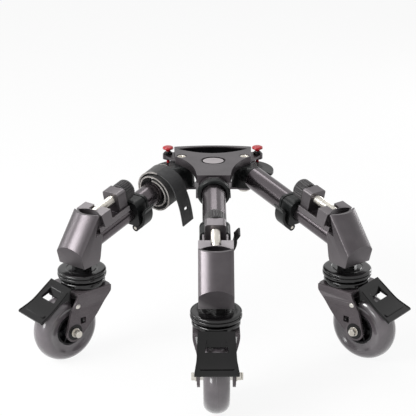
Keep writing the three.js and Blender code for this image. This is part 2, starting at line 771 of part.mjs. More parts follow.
function makeClampKnob() {
  const points = [];
  for (let tooth = 0; tooth < knobTeeth; tooth += 1) {
    const pitch = (2 * Math.PI) / knobTeeth;
    const crest = knobDiameter / 2;
    const valley = crest - knobToothDepth;
    const shares = [[0.05, valley], [0.3, crest], [0.7, crest], [0.95, valley]];
    for (const [share, radius] of shares) {
      const angle = (tooth + share) * pitch;
      points.push([radius * Math.cos(angle), radius * Math.sin(angle)]);
    }
  }
  const body = alongX(polygon(points), knobFace - knobLength, knobFace);
  const bore = rod('x', screwDiameter + 2 * clearance, knobFace - knobBoreDepth, knobFace + overrun, 16);
  return placed(body.subtract(bore), 0, 0, clampAxisHeight);
}

// Hub pieces: x and y from the middle of the line between the two leg pivots

function hubOutline(inset) {
  const shape = new THREE.Shape();
  shape.moveTo(-hubNoseX + inset, hubNoseY + inset);
  shape.lineTo(hubNoseX - inset, hubNoseY + inset);
  shape.quadraticCurveTo(hubNoseControlX - inset, hubNoseControlY, hubWingX - inset, hubWingY);
  shape.lineTo(hubCornerX - inset, hubCornerY - inset);
  shape.quadraticCurveTo(0, hubRear + hubRearBow * 2 - inset, -hubCornerX + inset, hubCornerY - inset);
  shape.lineTo(-hubWingX + inset, hubWingY);
  shape.quadraticCurveTo(-hubNoseControlX + inset, hubNoseControlY, -hubNoseX + inset, hubNoseY + inset);
  return shape;
}

function handleOutline(grow) {
  const shape = new THREE.Shape();
  const end = handleHalfLength + grow;
  const front = 2 * handleFront - handleEndY - 2 * grow;
  const rear = 2 * handleRear - handleEndY - 2 * grow;
  shape.moveTo(-end, handleEndY);
  shape.quadraticCurveTo(0, front, end, handleEndY);
  shape.lineTo(end, handleEndY + grow);
  shape.quadraticCurveTo(0, rear + 4 * grow, -end, handleEndY + grow);
  return shape;
}

function socketSolid(diameter, from, to, sides) {
  const slope = THREE.MathUtils.radToDeg(legSlope);
  const body = rod('y', diameter, from, to, sides).rotate([slope, 0, 0]);
  return placed(body, 0, -socketSetback, socketHeight);
}

// The low wing beside the hub with the lug that guides a lock pin
function lockWing(side) {
  const reach = lockX + lockLugDiameter / 4;
  const wing = polygon([
    [hubWingX - hubSkirtWall, hubWingY], [reach, lockY - lockLugDiameter / 2],
    [reach, lockY + lockLugDiameter / 2], [hubCornerX - hubSkirtWall, hubCornerY - hubSkirtWall],
  ]);
  const lug = placed(rod('z', lockLugDiameter, lockLugBottom, lockLugTop, 16), lockX, lockY, 0);
  const webHalf = lockLugDiameter / 2 - overrun / 4;
  const web = block(
    hubWingX - hubSkirtWall / 2, lockX, lockY - webHalf, lockY + webHalf, lockLugBottom, lockLugTop,
  );
  const body = plate(wing, hubUnderside, lockLugTop).add(lug).add(web);
  return side > 0 ? body : body.mirror([1, 0, 0]);
}

function makeHubCasting() {
  const shell = new THREE.ExtrudeGeometry(hubOutline(hubBevel), {
    depth: hubSkirt - hubBevel, curveSegments: 8, bevelEnabled: true,
    bevelSize: hubBevel, bevelThickness: hubBevel, bevelSegments: 1,
  });
  let body = toSolid(shell.translate(0, 0, hubUnderside)).intersect(
    plate(hubOutline(-overrun), hubUnderside, hubTop + overrun),
  );
  let pocket = plate(hubOutline(hubSkirtWall), hubUnderside - overrun, hubTop - hubPlate, 8);
  pocket = pocket.subtract(plate(handleOutline(hubSkirtWall), hubUnderside - overrun, hubTop, 8));
  for (const side of [-1, 1]) {
    const boss = rod('z', pivotBossDiameter, hubUnderside, hubTop, 16);
    pocket = pocket.subtract(placed(boss, (side * pivotSpacing) / 2, 0, 0));
    body = body.add(lockWing(side));
  }
  const post = rod('z', centrePostDiameter, basePlateTop + clearance, hubTop - hubPlate / 2, 14);
  body = body.subtract(pocket).add(placed(post, 0, centrePostY, 0));
  const socket = socketSolid(socketDiameter, 0, socketDepth + hubPlate, 20);
  body = body.add(socket.intersect(plate(hubOutline(-overrun), 0, hubTop - hubBevel)));
  body = body.subtract(plate(handleOutline(0), hubUnderside - overrun, hubTop + overrun, 8));
  for (const side of [-1, 1]) {
    const bore = rod('z', pivotPinDiameter + 2 * clearance, hubUnderside - overrun, hubTop + overrun);
    const sinkFloor = hubTop - pivotHeadThickness - clearance;
    const sink = rod('z', pivotHeadDiameter + 2 * clearance, sinkFloor, hubTop + overrun);
    body = body.subtract(placed(bore.add(sink), (side * pivotSpacing) / 2, 0, 0));
    const guide = rod('z', lockSleeveDiameter + 2 * clearance, lockLugBottom - overrun, hubTop + overrun);
    body = body.subtract(placed(guide, side * lockX, lockY, 0));
  }
  const tube = alongX(tubeSection(outerTubeSize + 2 * clearance), -socketDepth, overrun);
  const slope = THREE.MathUtils.radToDeg(legSlope);
  const tubeHole = placed(tube.rotate([0, slope, 0]).rotate([0, 0, -90]), 0, -socketSetback, socketHeight);
  return body.subtract(tubeHole);
}

function makeBasePlate() {
  const bottom = basePlateTop - basePlate;
  let body = block(
    -basePlateHalfWidth, basePlateHalfWidth, basePlateFront, basePlateRear, bottom, basePlateTop,
  );
  for (const side of [-1, 1]) {
    const x = (side * pivotSpacing) / 2;
    body = body.add(placed(rod('z', basePlateLobeDiameter, bottom, basePlateTop), x, 0, 0));
    const bore = rod('z', pivotPinDiameter + 2 * clearance, bottom - overrun, basePlateTop + overrun);
    const web = [side * basePlateHalfWidth - side * overrun, x].sort((a, b) => a - b);
    const webFront = overrun - basePlateRear;
    const webRear = basePlateRear - basePlate;
    body = body.add(block(...web, webFront, webRear, bottom, basePlateTop));
    body = body.subtract(placed(bore, x, 0, 0));
  }
  return body;
}

function makeSocketRing() {
  const inner = outerTubeSize / 2 / Math.cos(Math.PI / 8) + clearance;
  const outer = socketRingDiameter / 2;
  const half = socketRingLength / 2;
  const ring = revolved([
    [inner, -half], [outer - raceEdge, -half], [outer, -half + raceEdge],
    [outer, half - raceEdge], [outer - raceEdge, half], [inner, half],
  ], 20);
  const slope = THREE.MathUtils.radToDeg(legSlope);
  const seated = placed(ring, 0, 0, half + clearance).rotate([90 + slope, 0, 0]);
  return placed(seated, 0, -socketSetback, socketHeight);
}

function makePivotBolt() {
  const headSeat = hubTop - pivotHeadThickness;
  const bottom = basePlateTop - basePlate - clearance;
  const head = revolved([
    [0, headSeat - pivotPinDiameter], [pivotPinDiameter / 2, headSeat - pivotPinDiameter],
    [pivotPinDiameter / 2, headSeat], [pivotHeadDiameter / 2, headSeat],
    [pivotHeadDiameter / 2, hubTop - raceEdge], [pivotHeadDiameter / 2 - raceEdge, hubTop - clearance],
    [0, hubTop - clearance],
  ], 14);
  const shank = rod('z', pivotPinDiameter, bottom - pivotNutThickness, headSeat - raceEdge);
  return head.add(shank).add(rod('z', pivotNutDiameter, bottom - pivotNutThickness, bottom, 6));
}

// x runs outward along the leg from the pivot axis
function makeKnuckle(side) {
  const bottom = basePlateTop + clearance;
  const top = hubUnderside - clearance;
  const slope = THREE.MathUtils.radToDeg(legSlope);
  const barrel = rod('z', knuckleDiameter, bottom, top, 20);
  const shoulderEnd = knuckleShoulder / Math.cos(legSlope);
  const shoulder = alongX(tubeSection(outerTubeSize), 0, shoulderEnd - clearance);
  const plugEnd = shoulderEnd + knucklePlugLength;
  const arm = shoulder.add(rod('x', knucklePlugDiameter, 0, plugEnd, 16));
  const sloped = placed(arm.rotate([0, slope, 0]), 0, 0, socketHeight);
  const slab = block(-legReach, knuckleShoulder - clearance, -legReach, legReach, bottom, top);
  const far = block(knuckleShoulder - 2 * clearance, legReach, -legReach, legReach, 0, top);
  let body = barrel.add(sloped.intersect(slab.add(far)));

  const sector = new THREE.Shape();
  sector.moveTo(0, 0);
  sector.lineTo(quadrantRadius * Math.cos(quadrantStart), quadrantRadius * Math.sin(quadrantStart));
  sector.absarc(0, 0, quadrantRadius, quadrantStart, quadrantEnd, false);
  const tubeSide = outerTubeSize / 2 + 2 * clearance;
  const tubeRoom = block(knuckleShoulder - clearance, legReach, -legReach, tubeSide, 0, hubTop);
  let quadrant = plate(sector, quadrantTop - quadrantPlate, quadrantTop, 8).subtract(tubeRoom);
  if (side < 0) quadrant = quadrant.mirror([0, 1, 0]);
  body = body.add(quadrant);
  const bore = rod('z', pivotPinDiameter + 2 * clearance, bottom - overrun, top + overrun);
  return body.subtract(bore);
}

function makeLockSleeve() {
  const bore = lockStemDiameter / 2 + clearance;
  return revolved([
    [bore, lockLugBottom], [lockSleeveDiameter / 2, lockLugBottom],
    [lockSleeveDiameter / 2, lockSleeveTop], [bore, lockSleeveTop],
  ], 14);
}

function makeLockKnob() {
  const capBottom = lockSleeveTop + lockCapLift;
  const capTop = capBottom + lockCapHeight;
  const stem = lockStemDiameter / 2;
  const cap = lockCapDiameter / 2;
  return revolved([
    [0, quadrantTop + clearance], [lockPinDiameter / 2, quadrantTop + clearance],
    [lockPinDiameter / 2, lockLugBottom + lockCapHeight], [stem, lockLugBottom + lockCapHeight],
    [stem, capBottom - lockCapHeight / 3], [cap - lockCapHeight / 2, capBottom],
    [cap, capBottom + lockCapHeight / 3], [cap - lockCapHeight / 3, capTop - lockCapHeight / 4],
    [cap / 2, capTop], [0, capTop],
  ], 14);
}

// One band wound in a widening loop with its free end hanging straight down
function makeStrap() {
  const steps = 36;
  const turn = strapTurns * 2 * Math.PI;
  const radiusAt = (share) => strapInnerRadius + strapGrowth * share * strapTurns;
  const outside = [];
  const inside = [];
  for (let step = 0; step <= steps; step += 1) {
    const share = step / steps;
    const angle = turn * (share - 1);
    const near = radiusAt(share);
    const far = near + strapThickness;
    inside.push([near * Math.cos(angle), near * Math.sin(angle)]);
    outside.push([far * Math.cos(angle), far * Math.sin(angle)]);
  }
  const last = radiusAt(1);
  const tail = [[last + strapThickness, strapTail], [last, strapTail]];
  const outline = polygon([...outside, ...tail, ...inside.reverse()]);
  const half = strapWidth / 2;
  const body = alongX(outline, -half, half).mirror([0, 0, 1]);
  return placed(body, tubeHubEnd + strapPlace, 0, -strapDrop);
}

// Assembly

const dolly = new THREE.Group();
dolly.name = 'tripod_dolly';
const hub = new THREE.Group();
dolly.add(hub);
hub.add(mesh('hub_casting', makeHubCasting(), 'satin'));
hub.add(mesh('hub_base_plate', makeBasePlate(), 'satin'));
hub.add(mesh('front_socket_ring', makeSocketRing(), 'blackPlastic'));

function lockParts(name, side) {
  const sleeve = mesh(`${name}_lock_sleeve`, makeLockSleeve(), 'blackSteel');
  const knob = mesh(`${name}_lock_knob`, makeLockKnob(), 'red');
  for (const part of [sleeve, knob]) {
    part.position.set(side * lockX, lockY, 0);
    hub.add(part);
  }
}

// Each leg group has its x axis outward; hand says on which side of the leg the lever sits
function leg(name, hubX, hubY, heading, hand, turn) {
  const group = new THREE.Group();
  group.position.set(hubX, hubY, 0);
  group.rotation.z = heading;
  const tube = new THREE.Group();
  tube.position.set(legReach, 0, tubeHeightAtFoot);
  tube.rotation.y = legSlope;
  const foot = new THREE.Group();
  foot.position.x = legReach;
  const caster = new THREE.Group();
  caster.rotation.z = turn;
  foot.add(caster);
  group.add(tube, foot);

  const fixed = name === 'front';
  const setBack = fixed ? clearance - socketDepth : knuckleShoulder / Math.cos(legSlope);
  const tubeStart = tubeHubEnd + setBack;
  tube.add(mesh(`${name}_outer_tube`, makeOuterTube(tubeStart), 'satin'));
  tube.add(mesh(`${name}_inner_tube`, makeInnerTube(), 'satin'));
  tube.add(mesh(`${name}_clamp_collar`, makeClampCollar(hand), 'blackPlastic'));
  tube.add(mesh(`${name}_cam_lever`, makeCamLever(hand), 'blackPlastic'));
  tube.add(mesh(`${name}_lever_pin`, makeLeverPin(hand), 'blackSteel'));
  tube.add(mesh(`${name}_mount_bracket`, makeMountBracket(), 'satin'));
  tube.add(mesh(`${name}_moving_jaw`, makeMovingJaw(), 'satin'));
  tube.add(mesh(`${name}_clamp_screw`, makeClampScrew(), 'zinc'));
  tube.add(mesh(`${name}_clamp_knob`, makeClampKnob(), 'blackPlastic'));
  foot.add(mesh(`${name}_foot_block`, makeFootBlock(), 'satin'));
  foot.add(mesh(`${name}_caster_plate`, makeCasterPlate(), 'blackSteel'));
  caster.add(mesh(`${name}_caster_fork`, makeFork(), 'blackSteel'));
  caster.add(mesh(`${name}_axle_bolt`, makeAxleBolt(), 'zinc'));
  caster.add(mesh(`${name}_wheel_core`, makeWheelCore(), 'blackPlastic'));
  caster.add(mesh(`${name}_tyre`, makeTyre(), 'smokeTyre'));
  caster.add(mesh(`${name}_brake_pedal`, makeBrakePedal(), 'blackSteel'));
  dolly.add(group);
  return { group, tube };
}

const forward = -Math.PI / 2;
leg('front', 0, -socketSetback, forward, 1, 0);
for (const [name, side] of [['left', -1], ['right', 1]]) {
  const heading = forward + side * legSpread;
  const { group, tube } = leg(name, (side * pivotSpacing) / 2, 0, heading, -side, side * casterTurn);
  group.add(mesh(`${name}_knuckle`, makeKnuckle(side), 'blackPlastic'));
  if (side < 0) tube.add(mesh('strap', makeStrap(), 'webbing'));
  const bolt = mesh(`${name}_pivot_bolt`, makePivotBolt(), 'zinc');
  bolt.position.x = (side * pivotSpacing) / 2;
  hub.add(bolt);
  lockParts(name, side);
}

// The origin goes to the floor under the middle of the whole part
const bounds = new THREE.Box3().setFromObject(dolly, true);
const middle = bounds.getCenter(new THREE.Vector3());
for (const child of dolly.children) {
  child.position.x -= middle.x;
  child.position.y -= middle.y;
  child.position.z -= bounds.min.z;
}

export default dolly;
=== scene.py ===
"""Looks of the tripod dolly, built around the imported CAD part. Local sizes are millimetres."""

import json
import math

import bmesh
import bpy
from mathutils import Matrix, Vector


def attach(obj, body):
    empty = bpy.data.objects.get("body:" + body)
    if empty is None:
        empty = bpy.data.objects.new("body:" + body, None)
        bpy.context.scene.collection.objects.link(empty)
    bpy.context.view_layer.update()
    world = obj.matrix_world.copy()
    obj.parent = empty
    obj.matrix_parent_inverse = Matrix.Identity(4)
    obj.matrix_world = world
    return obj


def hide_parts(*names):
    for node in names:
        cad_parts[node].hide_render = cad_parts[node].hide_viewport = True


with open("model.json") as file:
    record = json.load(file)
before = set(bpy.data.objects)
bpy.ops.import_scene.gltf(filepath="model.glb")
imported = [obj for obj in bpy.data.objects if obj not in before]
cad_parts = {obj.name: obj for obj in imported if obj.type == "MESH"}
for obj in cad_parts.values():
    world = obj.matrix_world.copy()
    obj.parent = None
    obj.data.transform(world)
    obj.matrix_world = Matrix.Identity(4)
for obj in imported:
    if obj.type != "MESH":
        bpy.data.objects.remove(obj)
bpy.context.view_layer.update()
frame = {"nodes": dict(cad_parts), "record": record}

MM = 0.001
TAU = 2 * math.pi
LEGS = ("front", "left", "right")
HAND = {"front": 1, "left": 1, "right": -1}
JOINTS = {j["name"]: j for j in frame["record"]["behaviour"]["joints"]}

# Sizes that this script shares with the solids
SLOPE = math.radians(12)
TUBE_HEIGHT = 123
TRAIL = 25
AXLE_HEIGHT = 37.5
WHEEL_RADIUS = 37.5
HUB_TOP = 178.7
HUB_SKIRT = 9
HUB_UNDER = HUB_TOP - HUB_SKIRT
PIVOT = 36.5
SETBACK = 68
REACH = 176
LOCK_X, LOCK_Y = 52.6, 24.5
LUG_LOW, LUG_TOP = 167.2, 172.8
BASE_TOP = 143
QUADRANT_TOP = 162
HUB_HEIGHT = TUBE_HEIGHT + REACH * math.tan(SLOPE)
CLAMP_AXIS = 28
FORK_HEIGHT = 83.3
FORK_GAP = 33
FORK_PLATE = 3
FORK_OUTER = FORK_GAP / 2 + FORK_PLATE
PLAY = 0.3
OVERRUN = 4
AXLE = 8
AXLE_HOLE = 8.6
PEDAL_HINGE = (20.7, 67.5)
OUTER_TUBE, OUTER_BORE, OUTER_SOCKET = 26, 22.6, 26.6
INNER_TUBE, INNER_BORE, INNER_SOCKET = 21, 17.8, 21.6
INNER_CORNER = 1.6
OUTER_END = -95
INNER_START, INNER_END = -150, 8
SCREW, SCREW_HOLE, SCREW_PITCH = 10, 10.6, 1.5
COLLAR_LENGTH = 20
COLLAR_END = OUTER_END - 3.4 + COLLAR_LENGTH
COLLAR_MIDDLE = COLLAR_END - COLLAR_LENGTH / 2
LEVER_START, LEVER_STOP, LEVER_TIP = (math.radians(a) for a in (-75, 8, 16))
LEVER_PIN_REACH = 21.5
PIN_Y, PIN_Z = LEVER_PIN_REACH * math.cos(LEVER_START), LEVER_PIN_REACH * math.sin(LEVER_START)


# Materials


def node(tree, kind, **sockets):
    """Adds a shader node and sets its sockets or its own settings by name."""
    made = tree.nodes.new(kind)
    for name, value in sockets.items():
        label = name.replace("_", " ")
        if label in made.inputs:
            made.inputs[label].default_value = value
        else:
            setattr(made, name, value)
    return made


def grained(
    name, dark, light, metallic, rough, grain=900.0, bump=0.1, cloud=35.0, edge=None, coat=0.0, shine=0.5,
    stretch=(1, 1, 1),
):
    """A surface with mottled colour, uneven gloss, a fine grain and, where edge is set, painted highlights
    along its edges.
    """
    material = bpy.data.materials.new(name)
    material.use_nodes = True
    tree = material.node_tree
    shader = tree.nodes["Principled BSDF"]
    shader.inputs["Metallic"].default_value = metallic
    shader.inputs["Specular IOR Level"].default_value = shine
    shader.inputs["Coat Weight"].default_value = coat
    shader.inputs["Coat Roughness"].default_value = 0.08
    place = node(tree, "ShaderNodeTexCoord")
    scale = node(tree, "ShaderNodeMapping")
    scale.inputs["Scale"].default_value = stretch
    tree.links.new(place.outputs["Object"], scale.inputs["Vector"])
    clouds = node(tree, "ShaderNodeTexNoise", Scale=cloud, Detail=5.0, Roughness=0.6)
    fine = node(tree, "ShaderNodeTexNoise", Scale=grain, Detail=3.0, Roughness=0.7)
    tree.links.new(scale.outputs["Vector"], clouds.inputs["Vector"])
    tree.links.new(scale.outputs["Vector"], fine.inputs["Vector"])
    ramp = node(tree, "ShaderNodeValToRGB")
    ramp.color_ramp.elements[0].position = 0.32
    ramp.color_ramp.elements[0].color = (*dark, 1)
    ramp.color_ramp.elements[1].position = 0.68
    ramp.color_ramp.elements[1].color = (*light, 1)
    tree.links.new(clouds.outputs["Fac"], ramp.inputs["Fac"])
    colour = ramp.outputs["Color"]
    if edge:
        # Painted highlight: where pointiness marks an edge, the colour is mixed towards the edge tint
        shape = node(tree, "ShaderNodeNewGeometry")
        highlight_mask = node(tree, "ShaderNodeMapRange", From_Min=0.51, From_Max=0.58, To_Min=0.0, To_Max=0.75)
        mix = node(tree, "ShaderNodeMix", data_type="RGBA")
        mix.inputs["B"].default_value = (*edge, 1)
        tree.links.new(shape.outputs["Pointiness"], highlight_mask.inputs["Value"])
        tree.links.new(highlight_mask.outputs["Result"], mix.inputs["Factor"])
        tree.links.new(colour, mix.inputs["A"])
        colour = mix.outputs["Result"]
    tree.links.new(colour, shader.inputs["Base Color"])
    gloss = node(tree, "ShaderNodeMapRange", To_Min=rough * 0.82, To_Max=min(1.0, rough * 1.2))
    tree.links.new(fine.outputs["Fac"], gloss.inputs["Value"])
    tree.links.new(gloss.outputs["Result"], shader.inputs["Roughness"])
    relief = node(tree, "ShaderNodeBump", Strength=bump, Distance=0.0002)
    tree.links.new(fine.outputs["Fac"], relief.inputs["Height"])
    tree.links.new(relief.outputs["Normal"], shader.inputs["Normal"])
    return material


def woven(name, dark, light):
    """Webbing: crossed ribs with a fuzzy grain."""
    material = grained(name, dark, light, 0.0, 0.85, grain=2600.0, bump=0.3, cloud=160.0)
    tree = material.node_tree
    shader = tree.nodes["Principled BSDF"]
    place = tree.nodes["Texture Coordinate"]
    warp = node(tree, "ShaderNodeTexWave", Scale=420.0, Distortion=1.2, Detail=1.0)
    weft = node(tree, "ShaderNodeTexWave", Scale=420.0, Distortion=1.2, Detail=1.0, bands_direction="Z")
    for wave in (warp, weft):
        tree.links.new(place.outputs["Object"], wave.inputs["Vector"])
    both = node(tree, "ShaderNodeMath", operation="MAXIMUM")
    tree.links.new(warp.outputs["Fac"], both.inputs[0])
    tree.links.new(weft.outputs["Fac"], both.inputs[1])
    relief = node(tree, "ShaderNodeBump", Strength=0.5, Distance=0.0004)
    tree.links.new(both.outputs["Value"], relief.inputs["Height"])
    tree.links.new(relief.outputs["Normal"], shader.inputs["Normal"])
    shader.inputs["Sheen Weight"].default_value = 0.25
    return material


# Tint of the painted highlight along the edges of the alloy, tube and fork
EDGE_HIGHLIGHT = (0.2, 0.18, 0.19)
SATIN = grained(
    "satin_alloy", (0.05, 0.043, 0.047), (0.076, 0.066, 0.072), 0.85, 0.34, grain=1500.0, bump=0.08,
    edge=EDGE_HIGHLIGHT,
)
# Pointiness spreads over the hub's large faces, so its alloy has no painted edge highlights
PLATE = grained(
    "hub_alloy", (0.052, 0.045, 0.049), (0.078, 0.068, 0.074), 0.85, 0.34, grain=1500.0, bump=0.06
)
# The cast alloy carries a stronger painted highlight on its edges
CAST = grained(
    "cast_alloy", (0.05, 0.043, 0.048), (0.075, 0.067, 0.072), 0.8, 0.34, grain=1100.0, bump=0.06,
    edge=(0.3, 0.28, 0.29),
)
TUBE = grained(
    "drawn_tube", (0.044, 0.037, 0.042), (0.066, 0.057, 0.063), 0.88, 0.22, grain=1600.0, bump=0.06,
    edge=EDGE_HIGHLIGHT, stretch=(1, 1, 0.35),
)
PLASTIC = grained(
    "moulded_black", (0.007, 0.008, 0.008), (0.013, 0.014, 0.014), 0.0, 0.36, grain=2200.0, bump=0.2,
    shine=0.22,
)
KNOB = grained(
    "knob_grey", (0.03, 0.028, 0.029), (0.05, 0.047, 0.048), 0.1, 0.42, grain=1900.0, bump=0.25, shine=0.35
)
GLOSS = grained(
    "black_coat", (0.002, 0.002, 0.002), (0.005, 0.0045, 0.005), 0.0, 0.15, grain=1400.0, bump=0.02, shine=0.3
)
RACE = grained(
    "race_gloss", (0.003, 0.003, 0.003), (0.006, 0.0055, 0.006), 0.0, 0.17, grain=1400.0, bump=0.02
)
FORK = grained(
    "fork_coat", (0.05, 0.04, 0.045), (0.08, 0.067, 0.073), 0.3, 0.26, grain=1300.0, bump=0.08, shine=0.4,
    edge=EDGE_HIGHLIGHT,
)
# The bright zinc carries a near-white painted highlight on its edges
BRIGHT = grained(
    "bright_zinc", (0.46, 0.43, 0.38), (0.66, 0.63, 0.57), 0.95, 0.28, grain=1800.0, bump=0.1,
    edge=(0.9, 0.88, 0.84),
)
TYRE = grained(
    "grey_tread", (0.06, 0.052, 0.058), (0.115, 0.1, 0.11), 0.0, 0.3, grain=700.0, bump=0.03, coat=1.0
)
CORE = grained("core_black", (0.005, 0.005, 0.006), (0.01, 0.01, 0.011), 0.0, 0.4, bump=0.2, shine=0.2)
RED = grained(
    "red_cap", (0.33, 0.012, 0.018), (0.45, 0.018, 0.024), 0.0, 0.3, grain=1500.0, bump=0.05, shine=0.4
)
WEBBING = woven("strap_webbing", (0.012, 0.011, 0.011), (0.028, 0.026, 0.025))
BLACK_WEB = woven("strap_black", (0.007, 0.007, 0.008), (0.015, 0.015, 0.016))
BINDING = woven("strap_binding", (0.2, 0.185, 0.175), (0.36, 0.34, 0.32))
BADGE = grained("bare_badge", (0.3, 0.27, 0.28), (0.4, 0.37, 0.38), 0.5, 0.3, grain=1500.0, bump=0.1)
# Near-black, matt and without shine: painted shade for the hub's recess and slot
PAINTED_SHADE = grained(
    "deep_shade", (0.003, 0.003, 0.003), (0.006, 0.006, 0.007), 0.0, 0.9, bump=0.2, shine=0.0
)


# Mesh tools: closed shells in local millimetres


def shell(verts, faces):
    """A mesh with its doubles merged and its normals outward."""
    mesh = bpy.data.meshes.new("shell")
    mesh.from_pydata([tuple(v) for v in verts], [], faces)
    made = bmesh.new()
    made.from_mesh(mesh)
    bmesh.ops.remove_doubles(made, verts=made.verts, dist=1e-4)
    bmesh.ops.recalc_face_normals(made, faces=made.faces)
    made.to_mesh(mesh)
    made.free()
    return mesh


def swap(point, along):
    """Section coordinates a, b and the run c, laid on x, y and z."""
    a, b, c = point
    if along == "z":
        return (a, b, c)
    return (a, c, b) if along == "y" else (c, a, b)


def prism(outline, low, high, along="z"):
    """An outline carried along an axis from low to high."""
    count = len(outline)
    verts = [swap((a, b, run), along) for run in (low, high) for a, b in outline]
    sides = [[i, (i + 1) % count, count + (i + 1) % count, count + i] for i in range(count)]
    return shell(verts, [list(range(count))[::-1], list(range(count, 2 * count)), *sides])


def box(x0, x1, y0, y1, z0, z1):
    return prism([(x0, y0), (x1, y0), (x1, y1), (x0, y1)], z0, z1)


def lathe(profile, segments=64, along="z", at=(0, 0), ripple=None):
    """Radius and height pairs turned about an axis; ripple(angle, index) scales the radius."""
    verts = []
    rings = []
    for index, (radius, height) in enumerate(profile):
        if radius < 1e-6:
            rings.append([len(verts)] * segments)
            verts.append(swap((at[0], at[1], height), along))
            continue
        ring = []
        for step in range(segments):
            angle = TAU * step / segments
            size = radius * (ripple(angle, index) if ripple else 1)
            ring.append(len(verts))
            across = at[0] + size * math.cos(angle)
            up = at[1] + size * math.sin(angle)
            verts.append(swap((across, up, height), along))
        rings.append(ring)
    closed = profile[0][0] > 1e-6 and profile[-1][0] > 1e-6
    faces = []
    pairs = list(zip(rings, rings[1:])) + ([(rings[-1], rings[0])] if closed else [])
    for first, second in pairs:
        for step in range(segments):
            following = (step + 1) % segments
            corners = [first[step], first[following], second[following], second[step]]
            face = list(dict.fromkeys(corners))
            if len(face) > 2:
                faces.append(face)
    return shell(verts, faces)


def rod(diameter, low, high, along="z", at=(0, 0), segments=40):
    """A plain round bar."""
    radius = diameter / 2
    return lathe([(0, low), (radius, low), (radius, high), (0, high)], segments, along, at)


def softened(profile, radius, steps=4, closed=False):
    """Rounds the corners of an outline or of a lathe profile."""
    count = len(profile)
    result = []
    for index, corner in enumerate(profile):
        if not closed and index in (0, count - 1):
            result.append(corner)
            continue
        before = Vector(profile[index - 1])
        after = Vector(profile[(index + 1) % count])
        middle = Vector(corner)
        size = min(radius, 0.45 * (before - middle).length, 0.45 * (after - middle).length)
        start = middle + (before - middle).normalized() * size
        end = middle + (after - middle).normalized() * size
        if (before - middle).normalized().dot((after - middle).normalized()) < -0.995:
            result.append(corner)
            continue
        for step in range(steps + 1):
            share = step / steps
            point = start * (1 - share) ** 2 + middle * 2 * share * (1 - share) + end * share**2
            result.append((point.x, point.y))
    return result


def curve(start, control, end, steps=14):
    """A bend from start to end, without its first point."""
    points = []
    for step in range(1, steps + 1):
        t = step / steps
        points.append(tuple(
            start[k] * (1 - t) ** 2 + 2 * t * (1 - t) * control[k] + end[k] * t * t for k in (0, 1)
        ))
    return points


def arc(x, y, radius, start, end, steps):
    """Points on a circle round x, y, both ends among them."""
    angles = [start + (end - start) * k / steps for k in range(steps + 1)]
    return [(x + radius * math.cos(angle), y + radius * math.sin(angle)) for angle in angles]


def moved(mesh, matrix):
    mesh.transform(matrix)
    if matrix.determinant() < 0:
        mesh.flip_normals()
    return mesh


def holder(mesh):
    obj = bpy.data.objects.new("tool", mesh)
    bpy.context.scene.collection.objects.link(obj)
    return obj


def combined(mesh, others, operation):
    """Joins, cuts or keeps the common part of closed shells."""
    base = holder(mesh)
    tools = [holder(other) for other in others]
    for tool in tools:
        step = base.modifiers.new("boolean", "BOOLEAN")
        step.operation = operation
        step.solver = "EXACT"
        step.object = tool
    bpy.context.view_layer.update()
    result = bpy.data.meshes.new_from_object(base.evaluated_get(bpy.context.evaluated_depsgraph_get()))
    for obj in (base, *tools):
        bpy.data.objects.remove(obj)
    return result


def joined(mesh, *others):
    return combined(mesh, others, "UNION")


def cut(mesh, *others):
    return combined(mesh, others, "DIFFERENCE")


def common(mesh, *others):
    return combined(mesh, others, "INTERSECT")


def gathered(*meshes):
    """Several shells in one mesh, without a boolean."""
    made = bmesh.new()
    for mesh in meshes:
        made.from_mesh(mesh)
    result = bpy.data.meshes.new("shells")
    made.to_mesh(result)
    made.free()
    return result


def piece(name, mesh, place, body, material, replaces=(), bevel=0.0, segments=2, crease=35, angle=32):
    """Puts a mesh of local millimetres in the frame, softens its edges and rides it on a body."""
    mesh = mesh.copy()
    made = bmesh.new()
    made.from_mesh(mesh)
    bmesh.ops.remove_doubles(made, verts=made.verts, dist=1e-3)
    bmesh.ops.dissolve_limit(made, angle_limit=math.radians(0.6), verts=made.verts, edges=made.edges)
    bmesh.ops.recalc_face_normals(made, faces=made.faces)
    made.to_mesh(mesh)
    made.free()
    mesh.transform(place)
    mesh.shade_smooth()
    mesh.set_sharp_from_angle(angle=math.radians(crease))
    mesh.materials.clear()
    mesh.materials.append(material)
    obj = bpy.data.objects.new(name, mesh)
    bpy.context.scene.collection.objects.link(obj)
    if bevel:
        edge = obj.modifiers.new("bevel", "BEVEL")
        edge.width = bevel * MM
        edge.segments = segments
        edge.limit_method = "ANGLE"
        edge.angle_limit = math.radians(angle)
        edge.harden_normals = True
        edge.miter_outer = "MITER_ARC"
    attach(obj, body)
    if replaces:
        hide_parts(*([replaces] if isinstance(replaces, str) else replaces))
    return obj


def cad_copy(name):
    """The mesh of a CAD node, in metres, for a piece that only softens its edges."""
    return frame["nodes"][name].data.copy()


def soft_copy(name, body, material, bevel, **options):
    return piece(f"{name}_fine", cad_copy(name), Matrix.Identity(4), body, material, name, bevel, **options)


# Places of the groups


def spot(joint):
    return Vector(JOINTS[joint]["pos_m"])


def group_at(origin, heading, slope=0.0, height=0.0):
    """Local millimetres of a group, turned to its heading and leant by its slope."""
    return (
        Matrix.Translation((origin[0], origin[1], height * MM))
        @ Matrix.Rotation(heading, 4, "Z")
        @ Matrix.Rotation(slope, 4, "Y")
        @ Matrix.Scale(MM, 4)
    )


HUB_MIDDLE = (spot("left_fold") + spot("right_fold")) / 2
HUB = group_at(HUB_MIDDLE, 0.0)
FOOT = {}
TUBES = {}
CASTER = {}
for leg in LEGS:
    run = Vector(JOINTS[f"{leg}_extend"]["axis"])
    heading = math.atan2(run.y, run.x)
    swivel = spot(f"{leg}_swivel")
    axle = Vector(JOINTS[f"{leg}_roll"]["axis"])
    FOOT[leg] = group_at(swivel, heading)
    TUBES[leg] = group_at(swivel, heading, SLOPE, TUBE_HEIGHT)
    CASTER[leg] = group_at(swivel, math.atan2(axle.y, axle.x) - math.pi / 2)


# Casters


